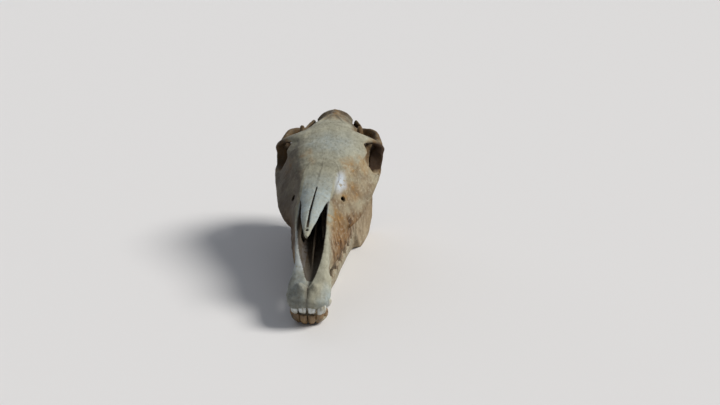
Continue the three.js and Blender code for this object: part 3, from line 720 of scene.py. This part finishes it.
def spot(points, centre, radii):
    """1 at the middle of a soft patch, falling to 0 at its edge."""
    d = np.sqrt((((points - np.array(centre)) / np.array(radii)) ** 2).sum(1))
    return np.clip(1.25 - d, 0, 1) ** 1.2


def orbit_distance(points):
    """Distance from the middle of the nearer orbit, 1 at about its rim."""
    x, y, z = points.T
    return np.sqrt(((np.abs(x) - 84) / 38) ** 2 + ((y - 392) / 44) ** 2 + ((z - 78) / 29) ** 2)


def hollow_amount(field, points, normals):
    """1 in a hollow, from how soon the field along the normal meets bone again."""
    near = field_at(field, points + 4 * normals) / 4
    far = field_at(field, points + 11 * normals) / 11
    return np.clip(1 - 0.5 * near - 0.5 * far, 0, 1)


print("a fade from 10 to 20 is", fade(15, 10, 20), "at 15")


# %% Soil, and painted shade on one side
OCHRE_SPOTS = (
    ((48, 300, 96), (20, 26, 22)), ((66, 330, 88), (18, 22, 18)), ((40, 262, 82), (12, 24, 16)),
    ((56, 268, 60), (18, 30, 14)), ((74, 352, 78), (12, 12, 20)), ((-20, 298, 104), (14, 12, 12)),
    ((48, 236, 66), (13, 14, 12)), ((6, 506, 122), (46, 46, 18)), ((-30, 318, 104), (12, 16, 14)),
    ((-60, 318, 84), (22, 24, 22)), ((34, 185, 52), (9, 50, 20)), ((84, 402, 98), (14, 12, 14)),
)


def cheek_area(x, y, z):
    cheek = fade(z, 58, 32) * fade(y, 100, 130) * fade(y, 300, 260)
    return cheek * fade(np.abs(x), 27, 33) * np.maximum(fade(z, -40, -30), 0.1)


# The bone behind the orbits: it is stained ochre and darkened as painted shade.
def back_area(x, y, z):
    back = fade(y - np.where(x > 0, 402, 418), 0, 24) * fade(np.abs(x), 40, 50)
    return back * np.maximum(fade(z, 10, 70), 0.25)


def ochre_amount(wobble, back, orbit):
    soaked = [spot(wobble, centre, radii) for centre, radii in OCHRE_SPOTS]
    return np.max([*soaked, 0.9 * back, np.clip(3 * (1.3 - orbit), 0, 1)], axis=0)


def streak_amount(x, y, z, cheek, soft):
    streak = cheek * np.clip(0.85 + 0.5 * (soft - 0.5), 0, 1) * np.maximum(fade(y, 262, 207), 0.4)
    upper = fade(z, 40, 52) * fade(z, 84, 72) * fade(y, 175, 205) * fade(y, 345, 305) * (x > 30)
    return np.maximum(streak, 0.25 * upper)


# Painted shade: darker on the animal's right side, which is turned from the key light, and on that
# side of the front of the muzzle.
def side_shade_amount(x, y, below, orbit):
    side_shade = fade(-x, 28, 36) * fade(y, 135, 165) * fade(below, 1, 9)
    side_shade *= np.clip(orbit - 0.3, 0.35, 1) * np.maximum(fade(y, 400, 340), 0.4)
    return np.maximum(side_shade, 0.5 * fade(-x, 3, 13) * fade(y, 58, 42))


print(len(OCHRE_SPOTS), "spots of ochre")


# %% Clean and bleached bone, and painted light
COOL_SPOTS = (
    (1.0, (-20, 30, 4), (26, 56, 34)), (0.8, (30, 10, -4), (16, 30, 22)),
    (0.7, (10, 350, 122), (50, 46, 22)),
)


def cool_amount(x, y, z, wobble):
    nasals = fade(y, 90, 130) * fade(y, 270, 210) * (np.abs(x) < 26) * (z > 60)
    return np.max([nasals, *(s * spot(wobble, c, r) for s, c, r in COOL_SPOTS)], axis=0)


# Lighter where the surface faces up, bleached by the sun, and painted light on the bars of the
# muzzle and on the jaw below the bite on the animal's left, which faces the key light.
def bleach_and_light_amount(x, y, z, up, bars, soft):
    jaw_side = fade(z, -28, -36) * (x > 10) * fade(y, 330, 270)
    return np.max([np.clip(up, 0, 1) * (0.5 + 0.5 * soft), 1.6 * bars, 1.3 * jaw_side], axis=0)


# Clean bone where a chip broke off beside the nasal bone, and painted light on the shaded bars of
# the muzzle on the animal's right.
def flake_and_light_amount(points, wobble, up, bars):
    chipped = spot(points + 0.35 * (wobble - points), (39, 249, 91), (11, 30, 19))
    return np.maximum(1.4 * chipped, 0.5 * bars * (points[:, 0] < 0) * np.clip(2 * up, 0, 1))


print(len(COOL_SPOTS), "blue-grey spots")


# %% Grime and painted shade
def suture_lines(x, y, below, wander):
    """Thin dark lines along the midline and around the nasal bones."""
    middle = np.exp(-((x + wander) / 1.6) ** 2) * fade(y, 215, 225) * fade(y, 310, 270)
    nasal_edge = np.interp(y, (165, 196, 225, 255, 280, 294, 300), (25, 28, 33, 34, 30, 18, 0))
    around = np.exp(-((np.abs(x) - nasal_edge + wander) / 1.4) ** 2)
    return middle + around * (y > 165) * (y < 294) * (below < 14)


# Mostly painted shade: darker in hollows, in the orbits, inside the nose, behind the orbits and on
# the cheeks toward the gums. Also darker at the nape and the crown, with dark lines along the
# sutures and down the middle of the muzzle.
def grime_and_shade_amount(x, y, z, below, hollow, back, orbit, cheek, fine, wander):
    side = np.abs(x)
    rear = 0.8 * np.maximum(back, fade(y, 515, 529)) * (0.5 + 0.5 * fine)
    orbits = np.clip(3 * (1.18 - orbit), 0, np.where(x > 0, 1.0, 0.84))
    roots = 0.75 * cheek * fade(z, 8, -6) * (0.4 + 0.6 * fine)
    chin_line = 0.4 * np.clip(1.3 - side / 5, 0, 1) * fade(y, 66, 54)
    crown = 0.66 * fade(y, 456, 490) * (0.3 + 0.9 * fine)
    grime_and_shade = np.max([fade(hollow, 0.5, 0.8), rear, orbits, roots, chin_line, crown], axis=0)
    nose_roof = at(NASAL, "topZ", np.clip(y, 86, 215)) - 12
    nose = (side < 25) * (y > 42) * (y < 245) * (z < nose_roof) * (z > 9)
    wall = nose * (side < at(CAVITY, "halfX", y) + 1.5)
    lines = 0.5 * suture_lines(x, y, below, wander) * (0.4 + 0.6 * fine)
    return np.max([grime_and_shade * (1 - 0.15 * nose), 0.85 * wall, lines], axis=0)


print("grime is darkest in the hollows")


# %% All amounts of stain, painted shade and painted light
def stain_and_light_amounts(points, normals, hollow):
    x, y, z = points.T
    soft = 0.5 + 0.25 * noise_at(points, 21, 11)
    fine = 0.5 + 0.25 * noise_at(points, 7, 12)
    wobble = points + 5 * np.column_stack([noise_at(points, 15, s) for s in (13, 14, 15)])
    wander = 1.2 * noise_at(points, 12, 16)
    below = roof_height(y) - z
    orbit, cheek, back = orbit_distance(points), cheek_area(x, y, z), back_area(x, y, z)
    # The bars of the muzzle, which get painted light.
    bars = fade(y, 48, 62) * fade(y, 165, 135) * (np.abs(x) > 12) * (z > 10)
    up = normals[:, 2]
    amounts = {
        "ochre": ochre_amount(wobble, back, orbit) * (0.55 + 0.6 * fine),
        "streak": streak_amount(x, y, z, cheek, soft),
        "cool": cool_amount(x, y, z, wobble) * (0.6 + 0.5 * soft),
        "bleach_and_light": bleach_and_light_amount(x, y, z, up, bars, soft),
        "grime_and_shade": grime_and_shade_amount(x, y, z, below, hollow, back, orbit, cheek, fine, wander),
        "side_shade": side_shade_amount(x, y, below, orbit) * (0.7 + 0.4 * soft),
        "flake_and_light": flake_and_light_amount(points, wobble, up, bars),
    }
    return {name: np.clip(value, 0, 1) for name, value in amounts.items()}


print("seven stain amounts for each point")


# %% [markdown]
# ## A nose that leans
# No skull is quite straight. On this one the nose bends a few millimetres to the animal's
# right, most at the tips of the nasal bones, and the front teeth stand a little to its left.
# The finished points are moved, because a field with two equal halves is half the work.

# %% Make a bone object
NOSE_LEAN = 7.8
MUZZLE_SHIFT = 2.2


def leaned(points):
    x, y, z = points.T
    forward, high = fade(y, 300, 150), fade(z, 15, 70)
    nose = NOSE_LEAN * forward * high * high * (3 - 2 * high)
    return np.column_stack([x - nose + MUZZLE_SHIFT * fade(y, 110, 50), y, z])


def roughened(points, normals, lump=0.45, grain=0.16):
    push = lump * noise_at(points, 19, 1) + grain * noise_at(points, 5.5, 2)
    return points + normals * push[:, None]


def bone_object(name, points, quads, field, body, material, lump=0.45, grain=0.16):
    normals = point_normals(points, quads)
    hollow = hollow_amount(field, points, normals)
    amounts = stain_and_light_amounts(points, normals, hollow)
    mesh = bpy.data.meshes.new(name)
    mesh.from_pydata(to_floor(leaned(roughened(points, normals, lump, grain))), [], quads.tolist())
    for key, value in amounts.items():
        layer = mesh.attributes.new(key, "FLOAT", "POINT")
        layer.data.foreach_set("value", value.astype(np.float32))
    mesh.shade_smooth()
    mesh.materials.append(material)
    piece = bpy.data.objects.new(name, mesh)
    bpy.context.collection.objects.link(piece)
    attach(piece, body)
    return piece


print("the nose leans", NOSE_LEAN, "mm")

# %% [markdown]
# ## Bone as a material
# Dry bone is mostly calcium phosphate in collagen. Outdoors it loses its grease and its gloss,
# the sun bleaches it to a chalky grey, soil stains it ochre, and its surface opens into fine
# pores and cracks. So it is rough (about 0.7), its IOR is about 1.56, and the colour changes over
# centimetres while the grain changes over a millimetre or two. One noise alone would look like
# stone, so patterns of several sizes break up each stain.

# %% Node helpers
def linear(hex_colour):
    """sRGB hex colour as linear RGBA."""
    parts = [int(hex_colour[i:i + 2], 16) / 255 for i in (1, 3, 5)]
    return (*[c / 12.92 if c <= 0.04045 else ((c + 0.055) / 1.055) ** 2.4 for c in parts], 1.0)


def add_node(tree, kind, links=(), **settings):
    """Adds a node; settings are its properties or, by input name or number, socket values."""
    node = tree.nodes.new(kind)
    for key, value in settings.items():
        if hasattr(node, key):
            setattr(node, key, value)
        else:
            socket = int(key[1:]) if key[0] == "_" else key.replace("_", " ")
            node.inputs[socket].default_value = value
    for socket, source in dict(links).items():
        tree.links.new(source, node.inputs[socket])
    return node


print("sRGB #808080 is linear", round(linear("#808080")[0], 3))


# %% Patterns and layers of stain
def grain_pattern(tree, size_mm, detail=3.0, stretch=(1, 1, 1)):
    """Noise whose lumps are about size_mm across on the object."""
    where = add_node(tree, "ShaderNodeTexCoord").outputs["Object"]
    scaled = add_node(tree, "ShaderNodeMapping", {0: where}, _3=stretch)
    noise = add_node(tree, "ShaderNodeTexNoise", {0: scaled.outputs[0]},
                     Scale=1000 / size_mm, Detail=detail)
    return noise.outputs[0]


def two_tone(tree, pattern, low, high, dark, light):
    """Colour that goes from dark to light as the pattern goes from low to high."""
    ramp = add_node(tree, "ShaderNodeValToRGB", {0: pattern})
    for stop, place, colour in zip(ramp.color_ramp.elements, (low, high), (dark, light)):
        stop.position, stop.color = place, linear(colour)
    return ramp.outputs[0]


def stained(tree, base, layers):
    """Lays layers over a base colour, each (hex colour, stain amount or None, pattern, range);
    stains, painted shade and painted light among them.
    """
    for colour, stain, pattern, (low, high, least, most) in layers:
        cover = add_node(tree, "ShaderNodeMapRange", {0: pattern},
                         _1=low, _2=high, _3=least, _4=most)
        if stain:
            amount = add_node(tree, "ShaderNodeAttribute", attribute_name=stain).outputs["Fac"]
            cover = add_node(tree, "ShaderNodeMath", {0: amount, 1: cover.outputs[0]},
                             operation="MULTIPLY")
        mix = add_node(tree, "ShaderNodeMix", {0: cover.outputs[0], 6: base},
                       data_type="RGBA", _7=linear(colour))
        base = mix.outputs[2]
    return base


print("a pattern is made from the size of its lumps")


# %% Bone materials
ROUGHNESS = 0.72


def bone_material(name, pale, mid):
    material = bpy.data.materials.new(name)
    material.use_nodes = True
    tree = material.node_tree
    tree.nodes.clear()
    broad = grain_pattern(tree, 30, 5)
    mottle = grain_pattern(tree, 7, 4)
    pores = grain_pattern(tree, 1.6, 2)  # real pores are about 0.2 mm and wouldn't show
    specks = grain_pattern(tree, 5.5, 6, (1.4, 0.6, 1.2))
    runs = grain_pattern(tree, 12, 5, (1.5, 1.3, 0.5))
    colour = stained(tree, two_tone(tree, broad, 0.36, 0.62, mid, pale), (
        # lighter where bleached, and painted light on the bars and the jaw's lit side
        ("#A1A090", "bleach_and_light", mottle, (0.35, 0.6, 0.1, 0.72)),
        ("#98A5A8", "cool", mottle, (0.3, 0.62, 0.5, 1)),
        ("#906C35", "ochre", mottle, (0.34, 0.6, 0.25, 1)),
        ("#7C5424", "streak", runs, (0.32, 0.54, 0.35, 0.95)),
        ("#3A2614", "streak", runs, (0.5, 0.6, 0, 0.92)),
        ("#5F5544", None, specks, (0.54, 0.7, 0, 0.36)),
        ("#BDB9A8", None, specks, (0.45, 0.3, 0, 0.3)),
        ("#6F675A", None, pores, (0.6, 0.75, 0, 0.35)),
        # clean bone of a chip, and painted light on the shaded bars
        ("#B4BDC6", "flake_and_light", mottle, (0.36, 0.46, 0, 1)),
        # painted shade on the animal's right side
        ("#4B4239", "side_shade", mottle, (0.25, 0.7, 0.95, 0.7)),
        # mostly painted shade in hollows, orbits and the nose; also dark suture lines
        ("#312013", "grime_and_shade", mottle, (0.2, 0.7, 1.0, 0.93)),
    ))
    relief = add_node(tree, "ShaderNodeBump", {"Height": pores}, Strength=0.35, Distance=0.0006)
    cracks = add_node(tree, "ShaderNodeBump", {"Height": mottle, "Normal": relief.outputs[0]},
                      Strength=0.5, Distance=0.0015)
    rough = add_node(tree, "ShaderNodeMapRange", {0: mottle},
                     _1=0.3, _2=0.7, _3=ROUGHNESS - 0.08, _4=ROUGHNESS + 0.1)
    shader = add_node(tree, "ShaderNodeBsdfPrincipled",
                      {"Base Color": colour, "Normal": cracks.outputs[0],
                       "Roughness": rough.outputs[0]},
                      IOR=1.56, Specular_IOR_Level=0.22)
    add_node(tree, "ShaderNodeOutputMaterial", {0: shader.outputs[0]})
    return material


SUN_BLEACHED = bone_material("Sun-bleached bone", "#989786", "#7F7D6D")
SOIL_STAINED = bone_material("Soil-stained bone", "#938A72", "#685A45")
JAW_BONE = bone_material("Jaw bone", "#95866E", "#75644B")
print("bone materials:", [m.name for m in (SUN_BLEACHED, SOIL_STAINED, JAW_BONE)])

# %% [markdown]
# ## Cut and mesh the bones
# A pair is meshed once and mirrored. The noise that roughens it reads the mirrored place, so
# the two sides differ a little, as they do on a real skull.

# %% Bones of the skull
BLEACHED = {"nasal", "frontal", "parietal", "incisive"}


def finish_bone(node, points, quads, field):
    bleached = node.split("_")[0] in BLEACHED
    material = SUN_BLEACHED if bleached else SOIL_STAINED
    piece = bone_object("bone_" + node, points, quads, field, "root", material)
    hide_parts(node)
    print(f"{node}: {2 * len(quads)} triangles")


whole_field = skull.copy()
rest = skull
for bone, whole, make_region in REGIONS:
    region = make_region()
    points, quads = mesh_arrays(np.maximum(rest, region), whole)
    rest = np.maximum(rest, SUTURE - region)
    if whole:
        finish_bone(bone, points, quads, whole_field)
    else:
        finish_bone(bone + "_left", points, quads, whole_field)
        finish_bone(bone + "_right", points * (-1, 1, 1), quads[:, ::-1], whole_field)

# %% [markdown]
# ## The lower jaw
# Two thin upright plates carry the joints and the coronoid processes. They run forward into
# narrow bars that meet at the chin. A plate, a tube and a loft follow them in that order. One
# bone in a grown horse, so one mesh.

# %% Sections of the jaw
CHIN = {
    "y": [4, 16, 36, 58, 84, 100],
    "halfX": [23, 30, 28, 21, 18, 18],
    "topZ": [-36, -34, -33, -34, -37, -39],
    "baseZ": [-44, -48, -51, -54, -59, -61],
}
JAW = {
    "y": [70, 92, 115, 140, 170, 226, 295, 340, 372],
    "x": [12, 13.5, 16.5, 20.5, 24, 30, 39, 48, 57],
    "halfX": [6, 6.5, 7.5, 9, 10, 10.5, 10.5, 8, 6],
    "topZ": [-36, -38, -39, -37, -36, -35, -33, -24, 0],
    "baseZ": [-57, -61, -65, -70, -75, -80, -90.5, -101, -107],
}
RAMUS = [
    (322, -62), (326, -38), (342, -8), (362, 26), (396, 60), (422, 90), (437, 114), (445, 121),
    (451, 115), (454, 96), (460, 77), (471, 66), (487, 62), (492, 46), (491, 10), (488, -30),
    (481, -64), (464, -92), (438, -108), (408, -114), (376, -112), (345, -101),
]


def chin_ring(y):
    wide, top, base = (at(CHIN, n, y) for n in ("halfX", "topZ", "baseZ"))
    return mirrored_ring([
        (0, top - 2), (0.7 * wide, top), (wide, top - 5), (0.72 * wide, base + 4), (0, base),
    ])


RAMUS_X, RAMUS_Y = 59.9, 400  # the plate's middle at the palate's height
RAMUS_SPREAD, RAMUS_LEAN = 0.157, -0.075  # outward for each unit back and up


def ramus_middle(y, z):
    return RAMUS_X + RAMUS_SPREAD * (y - RAMUS_Y) + RAMUS_LEAN * z


def ramus_half(y, z, distance):
    rim = np.exp(-((distance + 5) / 6) ** 2)
    front = fade(y, 395, 325)
    return 2.6 + 2.4 * rim + 2.2 * front * front


print("the plate's middle is", round(ramus_middle(450, 0)), "mm from the midline near its back")


# %% Jaw field
def jaw_rows():
    rows = []
    for y in (70, 92, 115, 140, 170, 198, 226, 260, 295, 320, 340, 362):
        top, base = float(at(JAW, "topZ", y)), float(at(JAW, "baseZ", y))
        x, wide = float(at(JAW, "x", y)), float(at(JAW, "halfX", y))
        rows.append((x, y, (top + base) / 2, wide, (top - base) / 2))
    return rows


jaw = blank()
join(jaw, lofted(np.linspace(4, 100, 24), chin_ring), 1)
join(jaw, tube(jaw_rows()), 7)
join(jaw, plate(closed_curve(RAMUS), ramus_middle, ramus_half), 9)
join(jaw, tube([(60, 362, -102, 4, 6), (67, 400, -106, 5, 8), (71, 434, -100, 6, 9),
                (74, 462, -82, 5, 9), (76, 480, -56, 3, 7)]), 4)  # thick edge of the angle
join(jaw, egg((76, 480, 60), (19, 9, 8)), 5)
join(jaw, egg((70, 480, 44), (7, 12, 20)), 6)
carve(jaw, egg((78.5, 436, -14), (10, 36, 44)), 4)  # muscle hollow on the outer face
carve(jaw, tube([(19, 78, -50, 2.2, 2.6), (27, 70, -48, 2.2, 2.6)]), 2)  # mental foramen
SOCKETS = [
    (134, 25), (150, 29.5), (177, 36.5), (204, 41.5), (230, 45.5), (256, 48.5), (283, 50.5),
    (297, 50),
]
join(jaw, tube([(x - 8.5, y, -46.5, 9.8, 10) for y, x in SOCKETS]), 5)  # ridge that holds the teeth
for y, x in SOCKETS[1:-1]:
    join(jaw, tube([(x - 2.5, y, -52, 3.5, 6), (x - 2.5, y, -40, 3.5, 7)], across=(0, 1, 0)), 3)
JAW_COARSENESS = 1.4  # a smooth bone needs fewer points
points, quads = mesh_arrays(jaw, True, JAW_COARSENESS)
print("jaw:", 2 * len(quads), "triangles")

# %% Jaw object
jaw_piece = bone_object("bone_mandible", points, quads, jaw, "root", JAW_BONE,
                        0.4, 0.14)
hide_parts("mandible")
print("the jaw is", len(jaw_piece.data.vertices), "points")

# %% [markdown]
# ## Teeth
# A horse's cheek teeth are tall prisms with folds of enamel down their outer sides, wrapped in
# tan cementum. The incisors are worn flat and show their enamel: smooth, glossy, bluish white
# with brown in the grooves. The grid of the field is too coarse for the sharp folds, so rings
# of points are skinned into closed shells.

# %% Tooth materials
def tooth_material(name, light, dark, groove, roughness, streak_mm):
    material = bpy.data.materials.new(name)
    material.use_nodes = True
    tree = material.node_tree
    tree.nodes.clear()
    streaks = grain_pattern(tree, streak_mm, 4, (1, 1, 0.25))
    cloud = grain_pattern(tree, 12, 3)
    colour = stained(tree, two_tone(tree, cloud, 0.35, 0.65, dark, light),
                     [(groove, None, streaks, (0.52, 0.68, 0, 0.85))])
    bump = add_node(tree, "ShaderNodeBump", {"Height": streaks}, Strength=0.4, Distance=0.0008)
    shader = add_node(tree, "ShaderNodeBsdfPrincipled",
                      {"Base Color": colour, "Normal": bump.outputs[0]},
                      Roughness=roughness, IOR=1.62)
    add_node(tree, "ShaderNodeOutputMaterial", {0: shader.outputs[0]})
    return material


CEMENTUM = tooth_material("Tooth cementum", "#A9997D", "#84705A", "#54402A", 0.62, 3)
ENAMEL = tooth_material("Worn enamel", "#D0D5D4", "#A3A08C", "#6B5533", 0.34, 5)
# The lower incisors are dark brown: partly soil stain, partly painted shade, for they sit in the
# shadow under the upper ones.
STAINED_AND_SHADED_ENAMEL = tooth_material("Soil-stained enamel with painted shade", "#957850", "#6E5636", "#3A2A18", 0.45, 4)
print("tooth materials:", [m.name for m in (CEMENTUM, ENAMEL, STAINED_AND_SHADED_ENAMEL)])


# %% Skinning rings into teeth
def skin(rings):
    """Closed shell through rings with the same number of points."""
    rings = np.asarray(rings)
    levels, around = rings.shape[:2]
    points = np.vstack([rings.reshape(-1, 3), rings[0].mean(0), rings[-1].mean(0)])
    k = np.arange(around)
    faces = []
    for level in range(levels - 1):
        a, b = level * around + k, level * around + (k + 1) % around
        faces += np.column_stack([a, b, b + around, a + around]).tolist()
    low, high = levels * around, levels * around + 1
    top = (levels - 1) * around
    faces += [[(j + 1) % around, j, low] for j in range(around)]
    faces += [[top + j, top + (j + 1) % around, high] for j in range(around)]
    return points, faces


def tooth_object(name, node, shells, material):
    points, faces, start = [], [], 0
    for shell_points, shell_faces in shells:
        points.append(shell_points)
        faces += [[start + i for i in face] for face in shell_faces]
        start += len(shell_points)
    mesh = bpy.data.meshes.new(name)
    mesh.from_pydata(to_floor(leaned(np.vstack(points))), [], faces)
    mesh.shade_smooth()
    mesh.materials.append(material)
    piece = bpy.data.objects.new(name, mesh)
    bpy.context.collection.objects.link(piece)
    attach(piece, "root")
    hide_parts(node)


def mirrored_shells(shells):
    return [(points * (-1, 1, 1), [face[::-1] for face in faces]) for points, faces in shells]


print("teeth are skinned rings")

# %% [markdown]
# ## Cheek teeth
# Six in each row. The outer side of an upper tooth has two hollows between three ribs; a lower
# tooth is narrower. They meet at the bite. One function makes all, because they differ only in
# place, size and the depth of the folds.

# %% Cheek teeth
BITE_Z = -26.0


def cheek_tooth(i, outer_x, width, low, high, ribs):
    angle = np.linspace(0, 2 * math.pi, 56, endpoint=False)
    cos, sin = np.cos(angle), np.sin(angle)
    square = 1 / np.maximum(np.abs(cos), np.abs(sin)) ** 0.78
    length = 13.4 if i in (0, 5) else 13.0
    rings = []
    for z in (low, low + 0.8, low + 3, *np.linspace(low + 6, high, 8)):
        shrink = 0.9 if z == low else 1.0
        out = np.where(cos > 0.2, ribs * np.cos(sin * 9.4) * 1.3, 0)
        inward = np.where(cos < -0.3, 0.5 * np.cos(sin * 12), 0)
        wave = 0.25 * math.sin(z * 0.9 + i)
        x = outer_x - width / 2 + shrink * cos * square * (width / 2 - 1.2)
        x += out - inward + wave * (cos > 0.2)
        y = TOOTH_Y[i] + shrink * sin * square * length
        rings.append(np.column_stack([x, y, np.full_like(x, z)]))
    return skin(rings)


upper = [cheek_tooth(i, x, 25, BITE_Z, 4, 1.0) for i, x in enumerate(UPPER_OUTER_X)]
lower = [cheek_tooth(i, x - 7, 17, -50, BITE_Z - 0.5, 0.7) for i, x in enumerate(UPPER_OUTER_X)]
for kind, shells in (("upper", upper), ("lower", lower)):
    for side, row in (("left", shells), ("right", mirrored_shells(shells))):
        name, node = f"{kind}_cheek_teeth_row_{side}", f"{kind}_cheek_teeth_{side}"
        tooth_object(name, node, row, CEMENTUM)
print(len(upper) * 4, "cheek teeth")

# %% [markdown]
# ## Incisors
# Twelve, in two arcs. Their fronts are gently ribbed and the second pair is the longest. Worn
# teeth are never alike, so the second and third upper ones differ from side to side.

# %% Incisors
ANGLES = [math.radians(a) for a in (14, 42, 70)]
WIDTHS = (6.4, 7.2, 6.2)


def incisor(i, levels):
    """Incisor through levels of (height, distance out, width, depth)."""
    turn = np.linspace(0, 2 * math.pi, 32, endpoint=False)
    table = {"y": [row[0] for row in levels]}
    for c in (1, 2, 3):
        table[c] = [row[c] for row in levels]
    rings = []
    for z in np.linspace(levels[0][0], levels[-1][0], 22):
        reach, broad, deep = (float(at(table, c, z)) for c in (1, 2, 3))
        if z == levels[0][0] or z == levels[-1][0]:
            broad, deep = 0.86 * broad, 0.7 * deep
        front = -np.sin(turn)
        groove = np.where(front > 0.3, 0.35 * np.cos(np.cos(turn) * 6.3), 0)
        across = np.cos(turn) * WIDTHS[i] * broad
        outward = ARCADE_RADIUS * reach + front * WIDTHS[i] * deep - groove
        sin, cos = math.sin(ANGLES[i]), math.cos(ANGLES[i])
        x = sin * outward + cos * across
        y = ARCADE_CENTRE_Y - cos * outward * ARCADE_DEPTH + sin * across
        rings.append(np.column_stack([x, y, np.full_like(x, z)]))
    return skin(rings)


UPPER_LEFT = [
    [(-21.5, 1.0, 0.86, 0.42), (-15, 1.03, 1.0, 0.7), (-8, 0.98, 0.95, 0.85), (1, 0.86, 0.8, 0.8)],
    [(-26, 1.04, 1.02, 0.5), (-19, 1.09, 1.1, 0.72), (-12, 1.12, 1.02, 0.75), (-5, 1.08, 0.8, 0.6),
     (3, 0.92, 0.6, 0.5)],
    [(-20.5, 1.02, 0.8, 0.45), (-14, 1.09, 0.95, 0.7), (-8, 1.1, 0.9, 0.7), (0, 1.0, 0.7, 0.6)],
]
UPPER_RIGHT = [
    UPPER_LEFT[0],
    [(-26, 1.0, 0.78, 0.45), (-19, 1.03, 0.92, 0.7), (-10, 0.96, 0.9, 0.8), (1, 0.86, 0.8, 0.8)],
    [(-20.5, 0.9, 0.7, 0.42), (-14, 0.93, 0.8, 0.6), (-8, 0.9, 0.8, 0.6), (0, 0.85, 0.7, 0.6)],
]
LOWER = [
    (-46, 0.74, 0.7, 0.6), (-40, 0.84, 0.85, 0.75), (-33, 0.9, 0.95, 0.7), (-26.8, 0.92, 0.9, 0.45),
]
for i in range(3):
    sets = (
        ("upper", ENAMEL, UPPER_LEFT[i], UPPER_RIGHT[i]),
        ("lower", STAINED_AND_SHADED_ENAMEL, LOWER, LOWER),
    )
    for kind, enamel, left_levels, right_levels in sets:
        node = f"{kind}_incisor_{i + 1}"
        left, right = [incisor(i, left_levels)], mirrored_shells([incisor(i, right_levels)])
        tooth_object(f"tooth_{node}_left", node + "_left", left, enamel)
        tooth_object(f"tooth_{node}_right", node + "_right", right, enamel)
print("twelve incisors")

# %% [markdown]
# ## Floor and light
# A pale matt floor, a big soft light from the animal's left and above, a weak one from behind
# that draws the back of the skull, and a pale sky that fills the shadows. The lights are suns,
# because lamps nearby would fade along the length of the skull.

# %% Floor
bpy.ops.mesh.primitive_plane_add(size=40)
floor = bpy.context.object
floor.name = "Floor"
floor_paint = bpy.data.materials.new("Pale studio floor")
floor_paint.use_nodes = True
paint = floor_paint.node_tree.nodes["Principled BSDF"]
paint.inputs["Base Color"].default_value = linear("#DBDBDD")
paint.inputs["Roughness"].default_value = 0.95
floor.data.materials.append(floor_paint)
print("floor at height 0")

# %% Lights
def sun(name, direction, strength, spread_degrees, colour="#FFFBF4"):
    light = bpy.data.objects.new(name, bpy.data.lights.new(name, "SUN"))
    light.data.energy = strength
    light.data.angle = math.radians(spread_degrees)
    light.data.color = linear(colour)[:3]
    x, y, z = direction
    light.rotation_euler = (math.atan2(math.hypot(x, y), z), 0, math.atan2(x, -y))
    bpy.context.collection.objects.link(light)


sun("Key light", (1.0, 0.12, 0.95), 3.45, 24)
sun("Light from behind", (-0.5, 1.0, 0.4), 0.7, 70, "#EAF1FF")
world = bpy.data.worlds.new("Studio")
world.use_nodes = True
sky = world.node_tree.nodes["Background"]
sky.inputs["Color"].default_value = linear("#EDF0F4")
sky.inputs["Strength"].default_value = 0.22
bpy.context.scene.world = world
bpy.context.scene.view_settings.view_transform = "Standard"
print("lights on")
